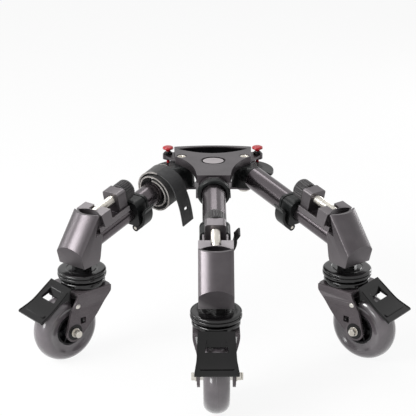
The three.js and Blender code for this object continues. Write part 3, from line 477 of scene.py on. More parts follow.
def tyre_profile():
    """Flanks, a round crown and the thin parting line in its middle."""
    crown, steps, margin = 11, 23, 0.18
    mid, low_crown = WHEEL_RADIUS - crown, crown - 0.1
    points = [(17.6, -11.4), (24.5, -11.9), (25.2, -12.6)]
    for step in range(steps + 1):
        angle = -math.pi / 2 + margin + (math.pi - 2 * margin) * step / steps
        points.append((mid + low_crown * math.cos(angle), 13.5 * math.sin(angle)))
        if step == steps // 2:
            points += [(mid + low_crown, -0.35), (mid + crown, -0.2)]
            points += [(mid + crown, 0.2), (mid + low_crown, 0.35)]
    points += [(25.2, 12.6), (24.5, 11.9), (17.6, 11.4)]
    return points


def hexagon(across_corners, low, high, along="y", at=(0, 0), turn=0.0):
    """A nut or bolt head with its corners turned down at both faces."""
    radius = across_corners / 2
    angles = [turn + k * TAU / 6 for k in range(6)]
    corners = [(at[0] + radius * math.cos(angle), at[1] + radius * math.sin(angle)) for angle in angles]
    body = prism(corners, low, high, along)
    face, rim, fall = radius * 0.86, radius * 1.01, radius * 0.14
    cone = lathe(softened([
        (0, low), (face, low), (rim, low + fall), (rim, high - fall), (face, high), (0, high),
    ], 0.2), 48, along, at)
    return common(body, cone)


def spread(mesh, low, high, far):
    """Pushes both sides of a shell outward in y, from nothing at low to far at high."""
    made = bmesh.new()
    made.from_mesh(mesh)
    for step in range(9):
        height = low + (high - low) * step / 8
        everything = [*made.verts, *made.edges, *made.faces]
        bmesh.ops.bisect_plane(made, geom=everything, plane_co=(0, 0, height), plane_no=(0, 0, 1))
    for vert in made.verts:
        share = min(1, max(0, (vert.co.z - low) / (high - low)))
        side = min(1, max(-1, vert.co.y / 15))
        vert.co.y += far * side * share * share * (3 - 2 * share)
    made.to_mesh(mesh)
    made.free()
    return mesh


def make_wheel(leg, place, axle):
    """Tread, and a core with six ribs on each side of its web."""
    wheel = f"{leg}_wheel"
    piece(f"{leg}_tread", lathe(tyre_profile(), 96, "y", axle), place, wheel, TYRE, f"{leg}_tyre", crease=50)
    core = lathe(softened([
        (4.4, -11.8), (8.2, -11.8), (8.6, -5), (12.4, -4), (14.6, -6.5), (15.2, -11.6), (17.1, -11.8),
        (17.1, 11.8), (15.2, 11.6), (14.6, 6.5), (12.4, 4), (8.6, 5), (8.2, 11.8), (4.4, 11.8),
    ], 0.7, 3, closed=True), 72, "y", axle)
    rib_outline = softened([(7.8, -0.8), (15.4, -0.8), (15.4, 0.8), (7.8, 0.8)], 0.3, closed=True)
    ribs = []
    for side in (-1, 1):
        for index in range(6):
            turn = (
                Matrix.Translation((axle[0], 0, axle[1])) @ Matrix.Rotation(TAU * index / 6, 4, "Y")
                @ Matrix.Rotation(-side * math.pi / 2, 4, "X")
            )
            ribs.append(moved(prism(rib_outline, 3.4, 9.5), turn))
    piece(f"{leg}_core", gathered(core, *ribs), place, wheel, CORE, f"{leg}_wheel_core", crease=40)


def make_axle(leg, place, axle):
    """Axle with a nut and washer on both sides, and its plain end showing on one."""
    ends = FORK_OUTER + PLAY
    parts = [rod(AXLE, -ends, ends, "y", axle)]
    face, tip = FORK_OUTER + 5.8, FORK_OUTER + 7.6
    for side in (-1, 1):
        low, high = sorted((side * (ends + 1.2), side * face))
        parts.append(hexagon(8.6, low, high, "y", axle, turn=0.3))
        low, high = sorted((side * ends, side * (ends + 1.4)))
        parts.append(lathe(softened([(0, low), (5.2, low), (5.2, high), (0, high)], 0.4), 56, "y", axle))
        if side > 0:
            parts.append(lathe(softened([(0, face), (3.9, face), (3.9, tip), (0, tip)], 0.5), 40, "y", axle))
    piece(f"{leg}_axle", gathered(*parts), place, f"{leg}_caster", BRIGHT, f"{leg}_axle_bolt", crease=40)


def make_fork(leg, place, axle):
    """Stamped fork: two cheeks under a crown, with the lower race pressed on."""
    caster = f"{leg}_caster"
    end = 11
    cheek = [(-21, FORK_HEIGHT - 1), (-21, 75)]
    tip = arc(*axle, end, math.radians(205), math.radians(350), 18)
    cheek += curve(cheek[-1], (-10.5, 53), tip[0]) + tip[1:]
    cheek += curve(tip[-1], (TRAIL + 5.5, 58.5), (27.5, 64)) + [(22, 80.3), (22, FORK_HEIGHT - 1)]
    sheets = []
    for side in (-1, 1):
        low, high = sorted((side * FORK_GAP / 2, side * FORK_OUTER))
        sheets.append(prism(cheek, low, high, "y"))
    plan = softened([(-21, -19.4), (22, -19.4), (22, 19.4), (-21, 19.4)], 4, 5, True)
    crown = prism(plan, FORK_HEIGHT - FORK_PLATE, FORK_HEIGHT)
    body = joined(crown, *sheets)
    reach = FORK_OUTER + 3
    square = softened([(-3.5, -3.5), (3.5, -3.5), (3.5, 3.5), (-3.5, 3.5)], 0.8, 3, True)
    window = prism(square, -reach, reach, "y")
    moved(window, Matrix.Translation((TRAIL - end, 0, AXLE_HEIGHT + end)))
    holes = [rod(AXLE_HOLE, -reach, reach, "y", axle), rod(5.6, -reach, reach, "y", PEDAL_HINGE), window]
    body = cut(body, *holes, rod(10.6, FORK_HEIGHT - 8, FORK_HEIGHT + 3))
    body = spread(body, 60, FORK_HEIGHT - 3, 4.4)
    piece(f"{leg}_fork", body, place, caster, FORK, f"{leg}_caster_fork", bevel=0.7, segments=3)
    race = lathe(softened([
        (5.4, 82.9), (21, 82.9), (24.9, 84.2), (24.9, 89.2), (21.6, 90.5), (5.4, 90.5),
    ], 3.2, 9), 96)
    piece(f"{leg}_lower_race", race, place, caster, RACE, crease=45)
    for name, side in (("left", -1), ("right", 1)):
        low, high = sorted((side * FORK_OUTER, side * (FORK_OUTER + 0.25)))
        disc = lathe(softened([(4.4, low), (8.9, low), (8.9, high), (4.4, high)], 0.1), 48, "y", axle)
        piece(f"{leg}_axle_plate_{name}", disc, place, caster, GLOSS, crease=40)


def make_caster(leg):
    place = CASTER[leg]
    axle = (TRAIL, AXLE_HEIGHT)
    make_wheel(leg, place, axle)
    make_axle(leg, place, axle)
    make_fork(leg, place, axle)


def make_caster_plate(leg):
    disc = lathe(softened([
        (0, 76.4), (7.6, 76.4), (8.5, 77.4), (8.5, 79.9), (5, 79.9), (5, 91.1), (22.6, 91.1), (26.5, 92.2),
        (26.5, 95.6), (25.2, 96.2), (25.2, 96.4), (26.4, 97), (26.2, 99.2), (24, 100),
        (17.5, 100), (16.9, 99.5), (15.6, 99.5), (15, 100), (0, 100),
    ], 1.6, 7), 112)
    nut = hexagon(22, 99.6, 107.2, "z")
    stud = lathe(softened([(0, 105), (5, 105), (5, 110.3), (0, 110.3)], 0.5), 40)
    body = gathered(disc, nut, stud)
    piece(f"{leg}_swivel_plate", body, FOOT[leg], f"{leg}_foot", RACE, f"{leg}_caster_plate", crease=40)


def ribbon(path, thickness):
    """A side outline of even thickness below a path of x and z points."""
    under = []
    for index, point in enumerate(path):
        before = Vector(path[max(0, index - 1)])
        after = Vector(path[min(len(path) - 1, index + 1)])
        run = (after - before).normalized()
        under.append((point[0] + run.y * thickness, point[1] - run.x * thickness))
    return list(path) + under[::-1]


def pedal_plate():
    """The bent plate with its window, a stamped rib on the lip and a raised border on both sides."""
    start, bend, lip_end = (27.6, 89.2), (53, 70), (69.5, 62.6)
    path = softened([start, bend, lip_end], 9, 8)
    plate = prism(ribbon(path, 2), -25, 25, "y")
    plan = softened([
        (23.6, -18.4), (bend[0], -20), (lip_end[0], -22.5), (lip_end[0], 22.5), (bend[0], 20), (23.6, 18.4),
    ], 2.4, 5, True)
    plate = common(plate, prism(plan, 30, 110))
    window = prism(softened([(34, -9.5), (46, -12), (46, 12), (34, 9.5)], 1.5, 4, True), 71.5, 100)
    plate = cut(plate, window)
    rib = prism(softened([(-17, -2), (17, -2), (17, 2), (-17, 2)], 1.9, 6, True), -0.6, 0.9)
    tilt = math.atan2(bend[1] - lip_end[1], lip_end[0] - bend[0])
    turn = Matrix.Rotation(tilt, 4, "Y") @ Matrix.Rotation(math.pi / 2, 4, "Z")
    moved(rib, Matrix.Translation((61.5, 0, 66.2)) @ turn)
    borders = []
    for side in (-1, 1):
        inner = [(32, side * 17.3), (53, side * 18.6), (68, side * 20.6)]
        outer = [(68, side * 21.8), (53, side * 19.6), (32, side * 18.4)]
        walk = prism((inner + outer)[::side], 30, 110)
        raised = prism(ribbon([(x, z + 0.55) for x, z in path], 1.6), -25, 25, "y")
        borders.append(common(raised, walk))
    return joined(plate, rib, *borders)


def make_pedal(leg):
    place, body = CASTER[leg], f"{leg}_pedal"
    plate = pedal_plate()
    ears = []
    for side in (-1, 1):
        half = 0.95
        middle = side * (FORK_GAP / 2 - PLAY - half)
        outline = softened([
            (20.7, 62.1), (25, 64.4), (27.2, 70.5), (31.5, 76), (46, 71.2), (50, 69.8), (29.6, 85.6),
            (26.2, 85.6), (26.2, 77.3), (18, 72.9), (15.3, 67.5),
        ], 2, 4, True)
        ears.append(prism(outline, middle - half, middle + half, "y"))
    # The tab bent down from the window, over the tyre
    fall = (89.2 - 70) / (53 - 27.6)
    tab = softened([
        (32.4, 89.2 - fall * 4.8), (35.3, 75.6), (37.3, 76.1), (34.4, 89.2 - fall * 6.8),
    ], 0.5, 3, True)
    whole = joined(plate, *ears, prism(tab, -10, 10, "y"))
    piece(f"{leg}_pedal_plate", whole, place, body, GLOSS, f"{leg}_brake_pedal", bevel=0.45)
    rivets = []
    for side in (-1, 1):
        base, top = FORK_OUTER + PLAY, FORK_OUTER + 2.1
        low, high = sorted((side * (FORK_GAP / 2 - 1), side * base))
        rivets.append(rod(5, low, high, "y", PEDAL_HINGE))
        dome = [(0, top), (1.9, top - 0.15), (3, base + 0.8), (3.3, base), (0, base)]
        rivets.append(lathe([(radius, side * out) for radius, out in dome], 40, "y", PEDAL_HINGE))
    piece(f"{leg}_pedal_rivets", gathered(*rivets), place, body, BRIGHT, crease=50)


# Foot blocks


def tube_outline(across, corner=2.2):
    """The octagon of a tube with its corners rounded."""
    half = math.radians(14)
    radius = across / 2 / math.cos(half)
    points = []
    for flat in range(8):
        for side in (-1, 1):
            angle = flat * math.pi / 4 + side * half
            points.append((radius * math.cos(angle), radius * math.sin(angle)))
    return softened(points, corner, 4, closed=True)


def make_block(leg):
    """A leaning barrel cut to its side view, with the seat for the foot and the bore of the inner tube."""
    bottom, belly, floor, top = 107.5, 130, 138, 161
    lean = (21 + 3) / (top - belly)
    toe = (21 - 15) / (belly - bottom)
    wall, half = -11, 18
    rise = 12 * math.tan(SLOPE)
    height = top - bottom
    side = [
        (15, bottom), (15 + toe * height, top), (wall, top), (-4, floor), (-16, floor + rise),
        (-11, bottom + 5), (-9, bottom),
    ]
    plan = [(-60, -half), (13, -half), (16, -half + 3)]
    plan += curve(plan[-1], (26, 0), (16, half - 3), 24)
    plan += [(13, half), (-60, half)]
    barrel = prism(softened(plan, 1.2, 3, True), 0, height + OVERRUN)
    shear = Matrix.Identity(4)
    shear[0][2] = -lean
    barrel.transform(Matrix.Translation((lean * (belly - bottom), 0, bottom)) @ shear)
    body = common(barrel, prism(side, -20, 20, "y"))
    depth = 4.5
    radius = (15**2 + depth**2) / (2 * depth)
    hollow = rod(2 * radius, floor, top + OVERRUN, "z", (wall + depth - radius, 0), segments=160)
    bore = prism(tube_outline(INNER_SOCKET), -60, 8.3, "x")
    moved(bore, Matrix.Translation((0, 0, TUBE_HEIGHT)) @ Matrix.Rotation(SLOPE, 4, "Y"))
    stud = rod(10.6, bottom - OVERRUN, 110.7)
    body = cut(body, hollow, bore, stud)
    foot = f"{leg}_foot"
    piece(f"{leg}_block_fine", body, FOOT[leg], foot, CAST, f"{leg}_foot_block", bevel=1.1, segments=3)


# Legs


def root_of(leg):
    """The body that a leg's outer tube belongs to."""
    return "hub" if leg == "front" else f"{leg}_leg"


def make_tubes(leg, hub_end):
    place = TUBES[leg]
    bore = prism(tube_outline(OUTER_BORE), hub_end - 1, OUTER_END + 1, "x")
    outer = cut(prism(tube_outline(OUTER_TUBE), hub_end, OUTER_END, "x"), bore)
    piece(f"{leg}_outer_fine", outer, place, root_of(leg), TUBE, f"{leg}_outer_tube", bevel=0.25, angle=60)
    bore = prism(tube_outline(INNER_BORE), INNER_START - 1, INNER_END + 1, "x")
    inner = cut(prism(tube_outline(INNER_TUBE, INNER_CORNER), INNER_START, INNER_END, "x"), bore)
    piece(f"{leg}_inner_fine", inner, place, f"{leg}_foot", TUBE, f"{leg}_inner_tube", bevel=0.2, angle=60)


def handed(mesh, side):
    """Made for a lever at +y, and mirrored for the other side."""
    return mesh if side > 0 else moved(mesh, Matrix.Scale(-1, 4, (0, 1, 0)))


def make_collar(leg):
    """Two rounded bands with a groove, a lug under one side and a slit below."""
    place, side = TUBES[leg], HAND[leg]
    half_y, half_z = 16.5, 15
    start = COLLAR_END - COLLAR_LENGTH

    def rounded(shrink):
        y, z = half_y - shrink, half_z - shrink
        return softened([(-y, -z), (y, -z), (y, z), (-y, z)], 7.8, 8, True)

    body = joined(
        prism(rounded(0), start, start + 3.2, "x"), prism(rounded(0.9), start + 3, start + 4.6, "x"),
        prism(rounded(0), start + 4.4, COLLAR_END, "x"),
    )
    half = 3.5
    low, high = COLLAR_MIDDLE - half, COLLAR_MIDDLE + half
    lug = joined(
        box(low, high, PIN_Y - 4, PIN_Y + 4, PIN_Z, -10),
        rod(8, low, high, "x", (PIN_Y, PIN_Z)),
    )
    slit = box(COLLAR_END - 13, COLLAR_END + 2, -2.4, -1.4, -20, -8)
    body = cut(
        joined(body, lug), prism(tube_outline(OUTER_SOCKET), start - OVERRUN, OUTER_END + PLAY, "x"),
        prism(tube_outline(INNER_SOCKET), start - 1, COLLAR_END + OVERRUN, "x"), slit, pin_hole(),
    )
    collar, root = handed(body, side), root_of(leg)
    piece(f"{leg}_collar_fine", collar, place, root, PLASTIC, f"{leg}_clamp_collar", bevel=0.7, segments=3)
    low, high = COLLAR_MIDDLE - 6.9, COLLAR_MIDDLE + 6.9
    pin = lathe(softened([(0, low), (2, low), (2, high), (0, high)], 0.4), 32, "x", (PIN_Y, PIN_Z))
    piece(f"{leg}_lever_pin_fine", handed(pin, side), place, root, BRIGHT, f"{leg}_lever_pin")


def pin_hole():
    """The room of the lever's pin, cut from collar and lever alike."""
    return rod(4.6, COLLAR_MIDDLE - 9, COLLAR_MIDDLE + 9, "x", (PIN_Y, PIN_Z), 28)


def make_lever(leg):
    """The cam lever lies round the flank of the collar and ends in a flared tip."""
    inner, outer, tip, round_tip = 20.2, 23.4, 26.8, 1.3
    neck = tip - 2 * round_tip
    outline = arc(0, 0, inner, LEVER_START, LEVER_STOP, 30)
    leaving = (neck * math.cos(LEVER_TIP), neck * math.sin(LEVER_TIP))
    outline += softened([outline[-1], (0.96 * inner * 1.1, inner * 0.2), leaving], 2, 4)[1:]
    centre = tip - round_tip
    outline += arc(centre, centre * math.tan(LEVER_TIP), round_tip, math.radians(150), math.radians(10), 8)
    outline += arc(0, 0, outer, LEVER_STOP - 0.06, LEVER_START, 30)
    half = 7
    low, high = COLLAR_MIDDLE - half, COLLAR_MIDDLE + half
    band = joined(prism(outline, low, high, "x"), rod(8, low, high, "x", (PIN_Y, PIN_Z)))
    room = box(COLLAR_MIDDLE - 3.8, COLLAR_MIDDLE + 3.8, -10, PIN_Y + 4.6, -33, 0)
    lever = handed(cut(band, room, pin_hole()), HAND[leg])
    place, body = TUBES[leg], f"{leg}_lever"
    piece(f"{leg}_lever_fine", lever, place, body, PLASTIC, f"{leg}_cam_lever", bevel=0.6, segments=3)


def threaded(diameter, low, high, pitch, at):
    """A rod along x with a real helical thread and chamfered ends."""
    around, per_turn = 28, 8
    rows = int((high - low) / pitch * per_turn)
    verts = []
    for row in range(rows + 1):
        x = low + (high - low) * row / rows
        for step in range(around):
            angle = TAU * step / around
            phase = (x / pitch - step / around) % 1.0
            depth = 0.62 * abs(2 * phase - 1) ** 0.9
            end = min(row, rows - row)
            radius = diameter / 2 - max(depth, 0.9 - 0.18 * end)
            verts.append((x, at[0] + radius * math.cos(angle), at[1] + radius * math.sin(angle)))
    faces = []
    for row in range(rows):
        for step in range(around):
            following = (step + 1) % around
            a, b = row * around, (row + 1) * around
            faces.append([a + step, a + following, b + following, b + step])
    faces.append(list(range(around))[::-1])
    faces.append([rows * around + step for step in range(around)])
    return shell(verts, faces)


SADDLE_SEAT = 13.3


def make_bracket(leg):
    """Saddle on the inner tube with the upright that holds the clamp's nut."""
    place, foot = TUBES[leg], f"{leg}_foot"
    under, seat = 10.8, SADDLE_SEAT
    lip = seat + 3.6
    saddle = [(-13.5, under), (13.5, under), (13.5, lip), (11.5, lip), (11.5, seat), (-11.5, seat)]
    saddle += [(-11.5, lip), (-13.5, lip)]
    upright = softened([(-11, under), (11, under), (11, 37.5), (-11, 37.5)], 3.6, 6, True)
    body = joined(prism(saddle, -71, -20, "x"), prism(upright, -71, -58, "x"))
    body = cut(body, rod(SCREW_HOLE, -75, -37, "x", (0, CLAMP_AXIS)))
    piece(f"{leg}_bracket_fine", body, place, foot, CAST, f"{leg}_mount_bracket", bevel=0.8, segments=3)
    screws = []
    for y in (-7.5, 7.5):
        head = [(0, seat), (2.1, seat), (2.1, seat + 1.1), (1.2, seat + 1.5), (0, seat + 1.5)]
        screws.append(lathe(softened(head, 0.3), 24, "z", (-29, y)))
    piece(f"{leg}_saddle_screws", gathered(*screws), place, foot, BRIGHT)


def make_jaw(leg):
    """The moving jaw: a hollow front face, and a notch that takes the screw from above."""
    rear, inside, front, half = -41, -28, -18, 18
    top, bottom, neck = CLAMP_AXIS + 5.3, SADDLE_SEAT + 0.3, SADDLE_SEAT + 3.9
    side = [(-37, bottom), (-25, bottom), (-22, top), (-37, top)]
    face = [
        (-11, bottom), (11, bottom), (11, neck), (half, neck), (half, top), (-half, top), (-half, neck),
        (-11, neck),
    ]
    body = common(prism(side, -half, half, "y"), prism(face, rear, front, "x"))
    depth = 5
    radius = (15**2 + depth**2) / (2 * depth)
    hollow = rod(2 * radius, bottom - OVERRUN, top + OVERRUN, "z", (-27 + radius, 0), segments=144)
    notch = rod(SCREW_HOLE, rear, inside, "x", (0, CLAMP_AXIS))
    mouth = box(rear, inside, -SCREW_HOLE / 2, SCREW_HOLE / 2, CLAMP_AXIS, top + OVERRUN)
    body = cut(body, hollow, notch, mouth)
    place, jaw = TUBES[leg], f"{leg}_jaw"
    piece(f"{leg}_jaw_fine", body, place, jaw, CAST, f"{leg}_moving_jaw", bevel=0.8, segments=3)


def make_screw(leg):
    """The threaded rod, and the knurled knob on its hub end."""
    place, screw = TUBES[leg], f"{leg}_screw"
    thread = threaded(SCREW, -83, -28.3, SCREW_PITCH, (0, CLAMP_AXIS))
    piece(f"{leg}_thread", thread, place, screw, BRIGHT, f"{leg}_clamp_screw", crease=70)
    profile = softened([
        (5.3, -71.4), (10.6, -71.4), (11.45, -72.6), (11.45, -84.6), (10.2, -86.6), (7.4, -86.8),
        (6.6, -86.2), (0, -86.2), (0, -83.3), (5.3, -83.3),
    ], 0.5, 3, closed=True)
    knurls, rim, depth = 26, 9.6, 0.055

    def knurl(angle, index):
        radius, height = profile[index]
        if radius < rim or not -85.8 < height < -71.9:
            return 1
        wave = 0.5 + 0.5 * math.cos(knurls * angle)
        return 1 - depth * (1 - min(1, wave * 1.7)) * min(1, (radius - rim))

    knob = lathe(profile, knurls * 10, "x", (0, CLAMP_AXIS), knurl)
    piece(f"{leg}_knob_fine", knob, place, screw, KNOB, f"{leg}_clamp_knob", crease=40)


# Hub


def hub_outline(inset=0.0):
    """The hub from above: a front edge, two hollow flanks and a bowed rear edge."""
    steps = 26
    points = [(-19 + inset, -66 + inset), (19 - inset, -66 + inset)]
    points += curve(points[-1], (21 - inset, -22), (44 - inset, -2), steps)
    points += [(45.5 - inset, 33 - inset)]
    points += curve(points[-1], (0, 42 - inset), (-45.5 + inset, 33 - inset), steps)
    points += [(-44 + inset, -2)]
    points += curve(points[-1], (-21 + inset, -22), (-19 + inset, -66 + inset), steps)[:-1]
    return points


def band_wall(outer, inner, low, high):
    """A closed band between two outlines with the same number of points."""
    count = len(outer)
    rows = ((outer, low), (outer, high), (inner, high), (inner, low))
    verts = [(x, y, z) for outline, z in rows for x, y in outline]
    faces = []
    for row in range(4):
        below, above = row * count, (row + 1) % 4 * count
        for index in range(count):
            after = (index + 1) % count
            faces.append((below + index, below + after, above + after, above + index))
    return shell(verts, faces)


def slot_outline(grow=0.0):
    """The finger slot, a crescent that follows the rear edge."""
    steps = 30
    end = 41 + grow
    front, rear = -6 - 2 * grow, 42 - 2 * grow
    points = [(-end, 25)] + curve((-end, 25), (0, front), (end, 25), steps)
    points += [(end, 25 + grow)] + curve((end, 25 + grow), (0, rear + 4 * grow), (-end, 25 + grow), steps)
    return list(dict.fromkeys((round(x, 5), round(y, 5)) for x, y in points))


def lock_wing(side):
    """Low wing beside the hub with the lug that guides a lock pin."""
    reach = LOCK_X + 3.1
    wing = prism(softened([
        (41.6, -2), (reach, LOCK_Y - 6.2), (reach, LOCK_Y + 6.2), (43, 30.6),
    ], 2.5, 4, True), HUB_UNDER + 0.02, LUG_TOP - 0.02)
    lug = rod(12.5, LUG_LOW, LUG_TOP, "z", (LOCK_X, LOCK_Y), 56)
    web = box(42.8, LOCK_X, LOCK_Y - 5.2, LOCK_Y + 5.2, LUG_LOW + 0.01, LUG_TOP - 0.01)
    body = joined(lug, wing, web)
    return body if side > 0 else moved(body, Matrix.Scale(-1, 4, (1, 0, 0)))


# The mouth of the front socket in the hub
FRONT_SOCKET = Matrix.Translation((0, -SETBACK, HUB_HEIGHT))
BOLT_HEAD = 11.4
BADGE_Y = -16


def make_hub_shell():
    """A thin casting with walls round its slot and bolts, a front nose and two lock wings."""
    wall = 2.4
    low, high = HUB_UNDER - OVERRUN, HUB_TOP + OVERRUN
    body = prism(softened(hub_outline(), 2.5, 4, True), HUB_UNDER, HUB_TOP)
    pocket = prism(hub_outline(wall), low, HUB_TOP - wall)
    keep = [prism(slot_outline(wall), low - 1, HUB_TOP)]
    keep += [rod(15, low - 1, HUB_TOP, "z", (side * PIVOT, 0), 48) for side in (-1, 1)]
    pocket = cut(pocket, *keep)
    post = rod(16, BASE_TOP + PLAY, HUB_TOP - wall + 0.4, "z", (0, -24), 48)
    nose = moved(rod(34, 0, 20.4, "y", segments=80), FRONT_SOCKET @ Matrix.Rotation(SLOPE, 4, "X"))
    nose = common(nose, prism(hub_outline(-4), 0, HUB_TOP - 1.6))
    body = joined(cut(body, pocket), lock_wing(-1), lock_wing(1), post, nose)
    tube = prism(tube_outline(OUTER_SOCKET), -18, 4, "x")
    moved(tube, FRONT_SOCKET @ Matrix.Rotation(-math.pi / 2, 4, "Z") @ Matrix.Rotation(SLOPE, 4, "Y"))
    badge = lathe([(0, HUB_TOP - 0.8), (1, HUB_TOP - 0.8), (1, HUB_TOP + 2), (0, HUB_TOP + 2)], 96)
    moved(badge, Matrix.Translation((0, BADGE_Y, 0)) @ Matrix.Diagonal((14.4, 12.4, 1, 1)))
    holes = [prism(slot_outline(), low, high), tube, badge]
    for side in (-1, 1):
        holes.append(rod(AXLE_HOLE, low, high, "z", (side * PIVOT, 0), 48))
        holes.append(rod(BOLT_HEAD, HUB_TOP - 2.7, high, "z", (side * PIVOT, 0), 56))
        holes.append(rod(7.6, LUG_LOW - OVERRUN, high, "z", (side * LOCK_X, LOCK_Y), 40))
    body = cut(body, *holes)
    piece("hub_shell", body, HUB, "hub", PLATE, "hub_casting", bevel=1.0, segments=3, angle=40)


def make_hub_trim():
    """The oval recess with a bare plate and a thin ring of painted shadow round it, and a band of painted
    shade on the walls of the slot.
    """
    low, high = HUB_TOP - 0.75, HUB_TOP - 0.3
    plate = lathe(softened([(0, low), (0.985, low), (0.985, high), (0, high)], 0.05), 96)
    oval = Matrix.Translation((0, BADGE_Y, 0)) @ Matrix.Diagonal((12.2, 10.2, 1, 1))
    piece("bare_oval_plate", moved(plate, oval), HUB, "hub", BADGE, crease=40)
    # Painted shadow: a near-black ring round the bare plate
    low, high = HUB_TOP - 0.78, HUB_TOP - 0.2
    rim = lathe([(0.99, low), (1.0, high), (1.07, high), (1.08, low)], 96)
    piece("oval_shadow_ring", moved(rim, oval), HUB, "hub", PAINTED_SHADE, crease=40)
    # Painted shade: a near-black band over the walls of the slot
    slot_shade = band_wall(slot_outline(-0.05), slot_outline(-0.5), HUB_UNDER + 0.4, HUB_TOP - 1.6)
    piece("slot_shade_band", slot_shade, HUB, "hub", PAINTED_SHADE, crease=40)


def make_pivot_and_lock(name, side):
    """Pivot bolt, the sleeve with its nut in the wing's lug, and the pull knob with its pin."""
    at = (side * PIVOT, 0)
    bottom = BASE_TOP - 2.5 - PLAY
    head = lathe(softened([
        (0, HUB_TOP - 8), (4, HUB_TOP - 8), (4, HUB_TOP - 2.4), (5.4, HUB_TOP - 2.4), (5.4, HUB_TOP - 1),
        (4.8, HUB_TOP - 0.4), (2.9, HUB_TOP - 0.35), (2.7, HUB_TOP - 1.6), (0, HUB_TOP - 1.7),
    ], 0.3, 3), 56, "z", at)
    shank = rod(AXLE, bottom - 4, HUB_TOP - 4, "z", at)
    bolt = gathered(head, shank, hexagon(13, bottom - 4, bottom, "z", at))
    piece(f"{name}_bolt_fine", bolt, HUB, "hub", BRIGHT, f"{name}_pivot_bolt", crease=40)
    at = (side * LOCK_X, LOCK_Y)
    sleeve = lathe(softened([
        (2.6, LUG_LOW), (3.5, LUG_LOW), (3.5, LUG_TOP + 2.8), (3.1, 176.5), (2.6, 176.5),
    ], 0.3, 3, closed=True), 40, "z", at)
    nut = cut(hexagon(10.4, LUG_TOP + 0.05, LUG_TOP + 2.3, "z", at), rod(6.8, 160, 180, "z", at))
    sleeve = gathered(sleeve, nut)
    piece(f"{name}_sleeve_fine", sleeve, HUB, "hub", GLOSS, f"{name}_lock_sleeve", crease=40)
    pin_end = QUADRANT_TOP + PLAY
    knob = lathe(softened([
        (0, pin_end), (1.9, pin_end), (1.9, 170.8), (2.3, 170.8), (2.3, 177.3), (4.2, 178.7), (6.1, 179.1),
        (6.5, 180), (6.1, 181.3), (4.4, 182.05), (0, 182.28),
    ], 0.5, 4), 64, "z", at)
    piece(f"{name}_knob_fine", knob, HUB, f"{name}_lock_pin", RED, f"{name}_lock_knob", crease=60)


def make_socket_ring():
    """The grooved ring round the mouth of the front socket."""
    half, far, ridge = 3.4, 17.2, 18.4
    ring = lathe(softened([
        (14.4, -half), (far, -half), (ridge, -2.2), (ridge, -0.4), (17.9, 0), (ridge, 0.4), (ridge, 2.2),
        (far, half), (14.4, half),
    ], 0.4, 3, closed=True), 96)
    facing = FRONT_SOCKET @ Matrix.Rotation(math.pi / 2 + SLOPE, 4, "X")
    moved(ring, facing @ Matrix.Translation((0, 0, 3.8)))
    piece("socket_ring_fine", ring, HUB, "hub", PLASTIC, "front_socket_ring", crease=45)


def make_hub():
    make_hub_shell()
    make_hub_trim()
    make_pivot_and_lock("left", -1)
    make_pivot_and_lock("right", 1)
    make_socket_ring()


# Strap


STRAP_STEPS = 144
LOOP_STEPS = 130


def strap_path():
    """Centre line of the wound band in y and z, then its hanging end."""
    turns, inner, growth, thick = 2.25, 13.9, 5.2, 2.2
    loosening, slack, fall, tail_out, tail_steps = 0.55, 5.5, 38, 4, 12
    points = []
    for step in range(STRAP_STEPS + 1):
        share = step / STRAP_STEPS
        angle = turns * TAU * (share - 1)
        radius = inner + growth * share * turns + thick / 2
        loose = max(0, share - loosening) / (1 - loosening)
        slip = slack * loose * loose * (3 - 2 * loose)
        points.append((radius * math.cos(angle) + slip, -radius * math.sin(angle) + slip * 0.3))
    last = points[-1]
    for step in range(1, tail_steps + 1):
        share = step / tail_steps
        out = tail_out * (1 - (1 - share) ** 3)
        points.append((last[0] + out, last[1] - fall * share))
    return points


def band(path, half, thick):
    """A flat strap section swept along x."""
    outline = []
    count = len(path)
    normals = []
    for index in range(count):
        ahead, behind = path[min(count - 1, index + 1)], path[max(0, index - 1)]
        run = (Vector(ahead) - Vector(behind)).normalized()
        normals.append(Vector((run.y, -run.x)))
    for sign in (1, -1):
        order = range(count) if sign > 0 else reversed(range(count))
        outline += [tuple(Vector(path[i]) + normals[i] * (sign * thick / 2)) for i in order]
    return prism(outline, -half, half, "x")


def make_strap():
    """Wound band with light binding on both edges, and the black tail with its hole."""
    place = TUBES["left"] @ Matrix.Translation((-REACH / math.cos(SLOPE) + 43.5, 0, -PLAY))
    path = strap_path()
    loop = path[:LOOP_STEPS + 1]
    piece("strap_band", band(loop, 9.9, 1.5), place, "left_leg", WEBBING, "strap", bevel=0.5)
    across, up = path[LOOP_STEPS + 20]
    hole = box(-2.6, 2.6, across - 6, across + 6, up - 1.9, up + 1.9)
    tail = cut(band(path[LOOP_STEPS:], 9.6, 1.9), hole)
    piece("strap_tail", tail, place, "left_leg", BLACK_WEB, bevel=0.5)
    edges = []
    for side in (-1, 1):
        edges.append(moved(band(loop, 0.32, 1.9), Matrix.Translation((side * 9.65, 0, 0))))
    piece("strap_binding_edges", gathered(*edges), place, "left_leg", BINDING, bevel=0.25)


for leg in LEGS:
    make_caster(leg)
    make_caster_plate(leg)
    make_pedal(leg)
    make_block(leg)
    hub_end = -REACH / math.cos(SLOPE)
    make_tubes(leg, hub_end - 17.7 if leg == "front" else hub_end + 18 / math.cos(SLOPE))
    make_collar(leg)
    make_lever(leg)
    make_bracket(leg)
    make_jaw(leg)
    make_screw(leg)
make_hub()
make_strap()
for side in ("left", "right"):
    soft_copy(f"{side}_knuckle", f"{side}_leg", PLASTIC, 0.6)
soft_copy("hub_base_plate", "hub", SATIN, 0.5)


# Floor, light and camera


def seen_rays(tree):
    """1 for camera, glossy and transmission rays, and 0 for the others."""
    path = node(tree, "ShaderNodeLightPath")
    total = path.outputs["Is Camera Ray"]
    for name in ("Is Glossy Ray", "Is Transmission Ray"):
        both = node(tree, "ShaderNodeMath", operation="MAXIMUM")
        tree.links.new(total, both.inputs[0])
        tree.links.new(path.outputs[name], both.inputs[1])
        total = both.outputs["Value"]
    return total


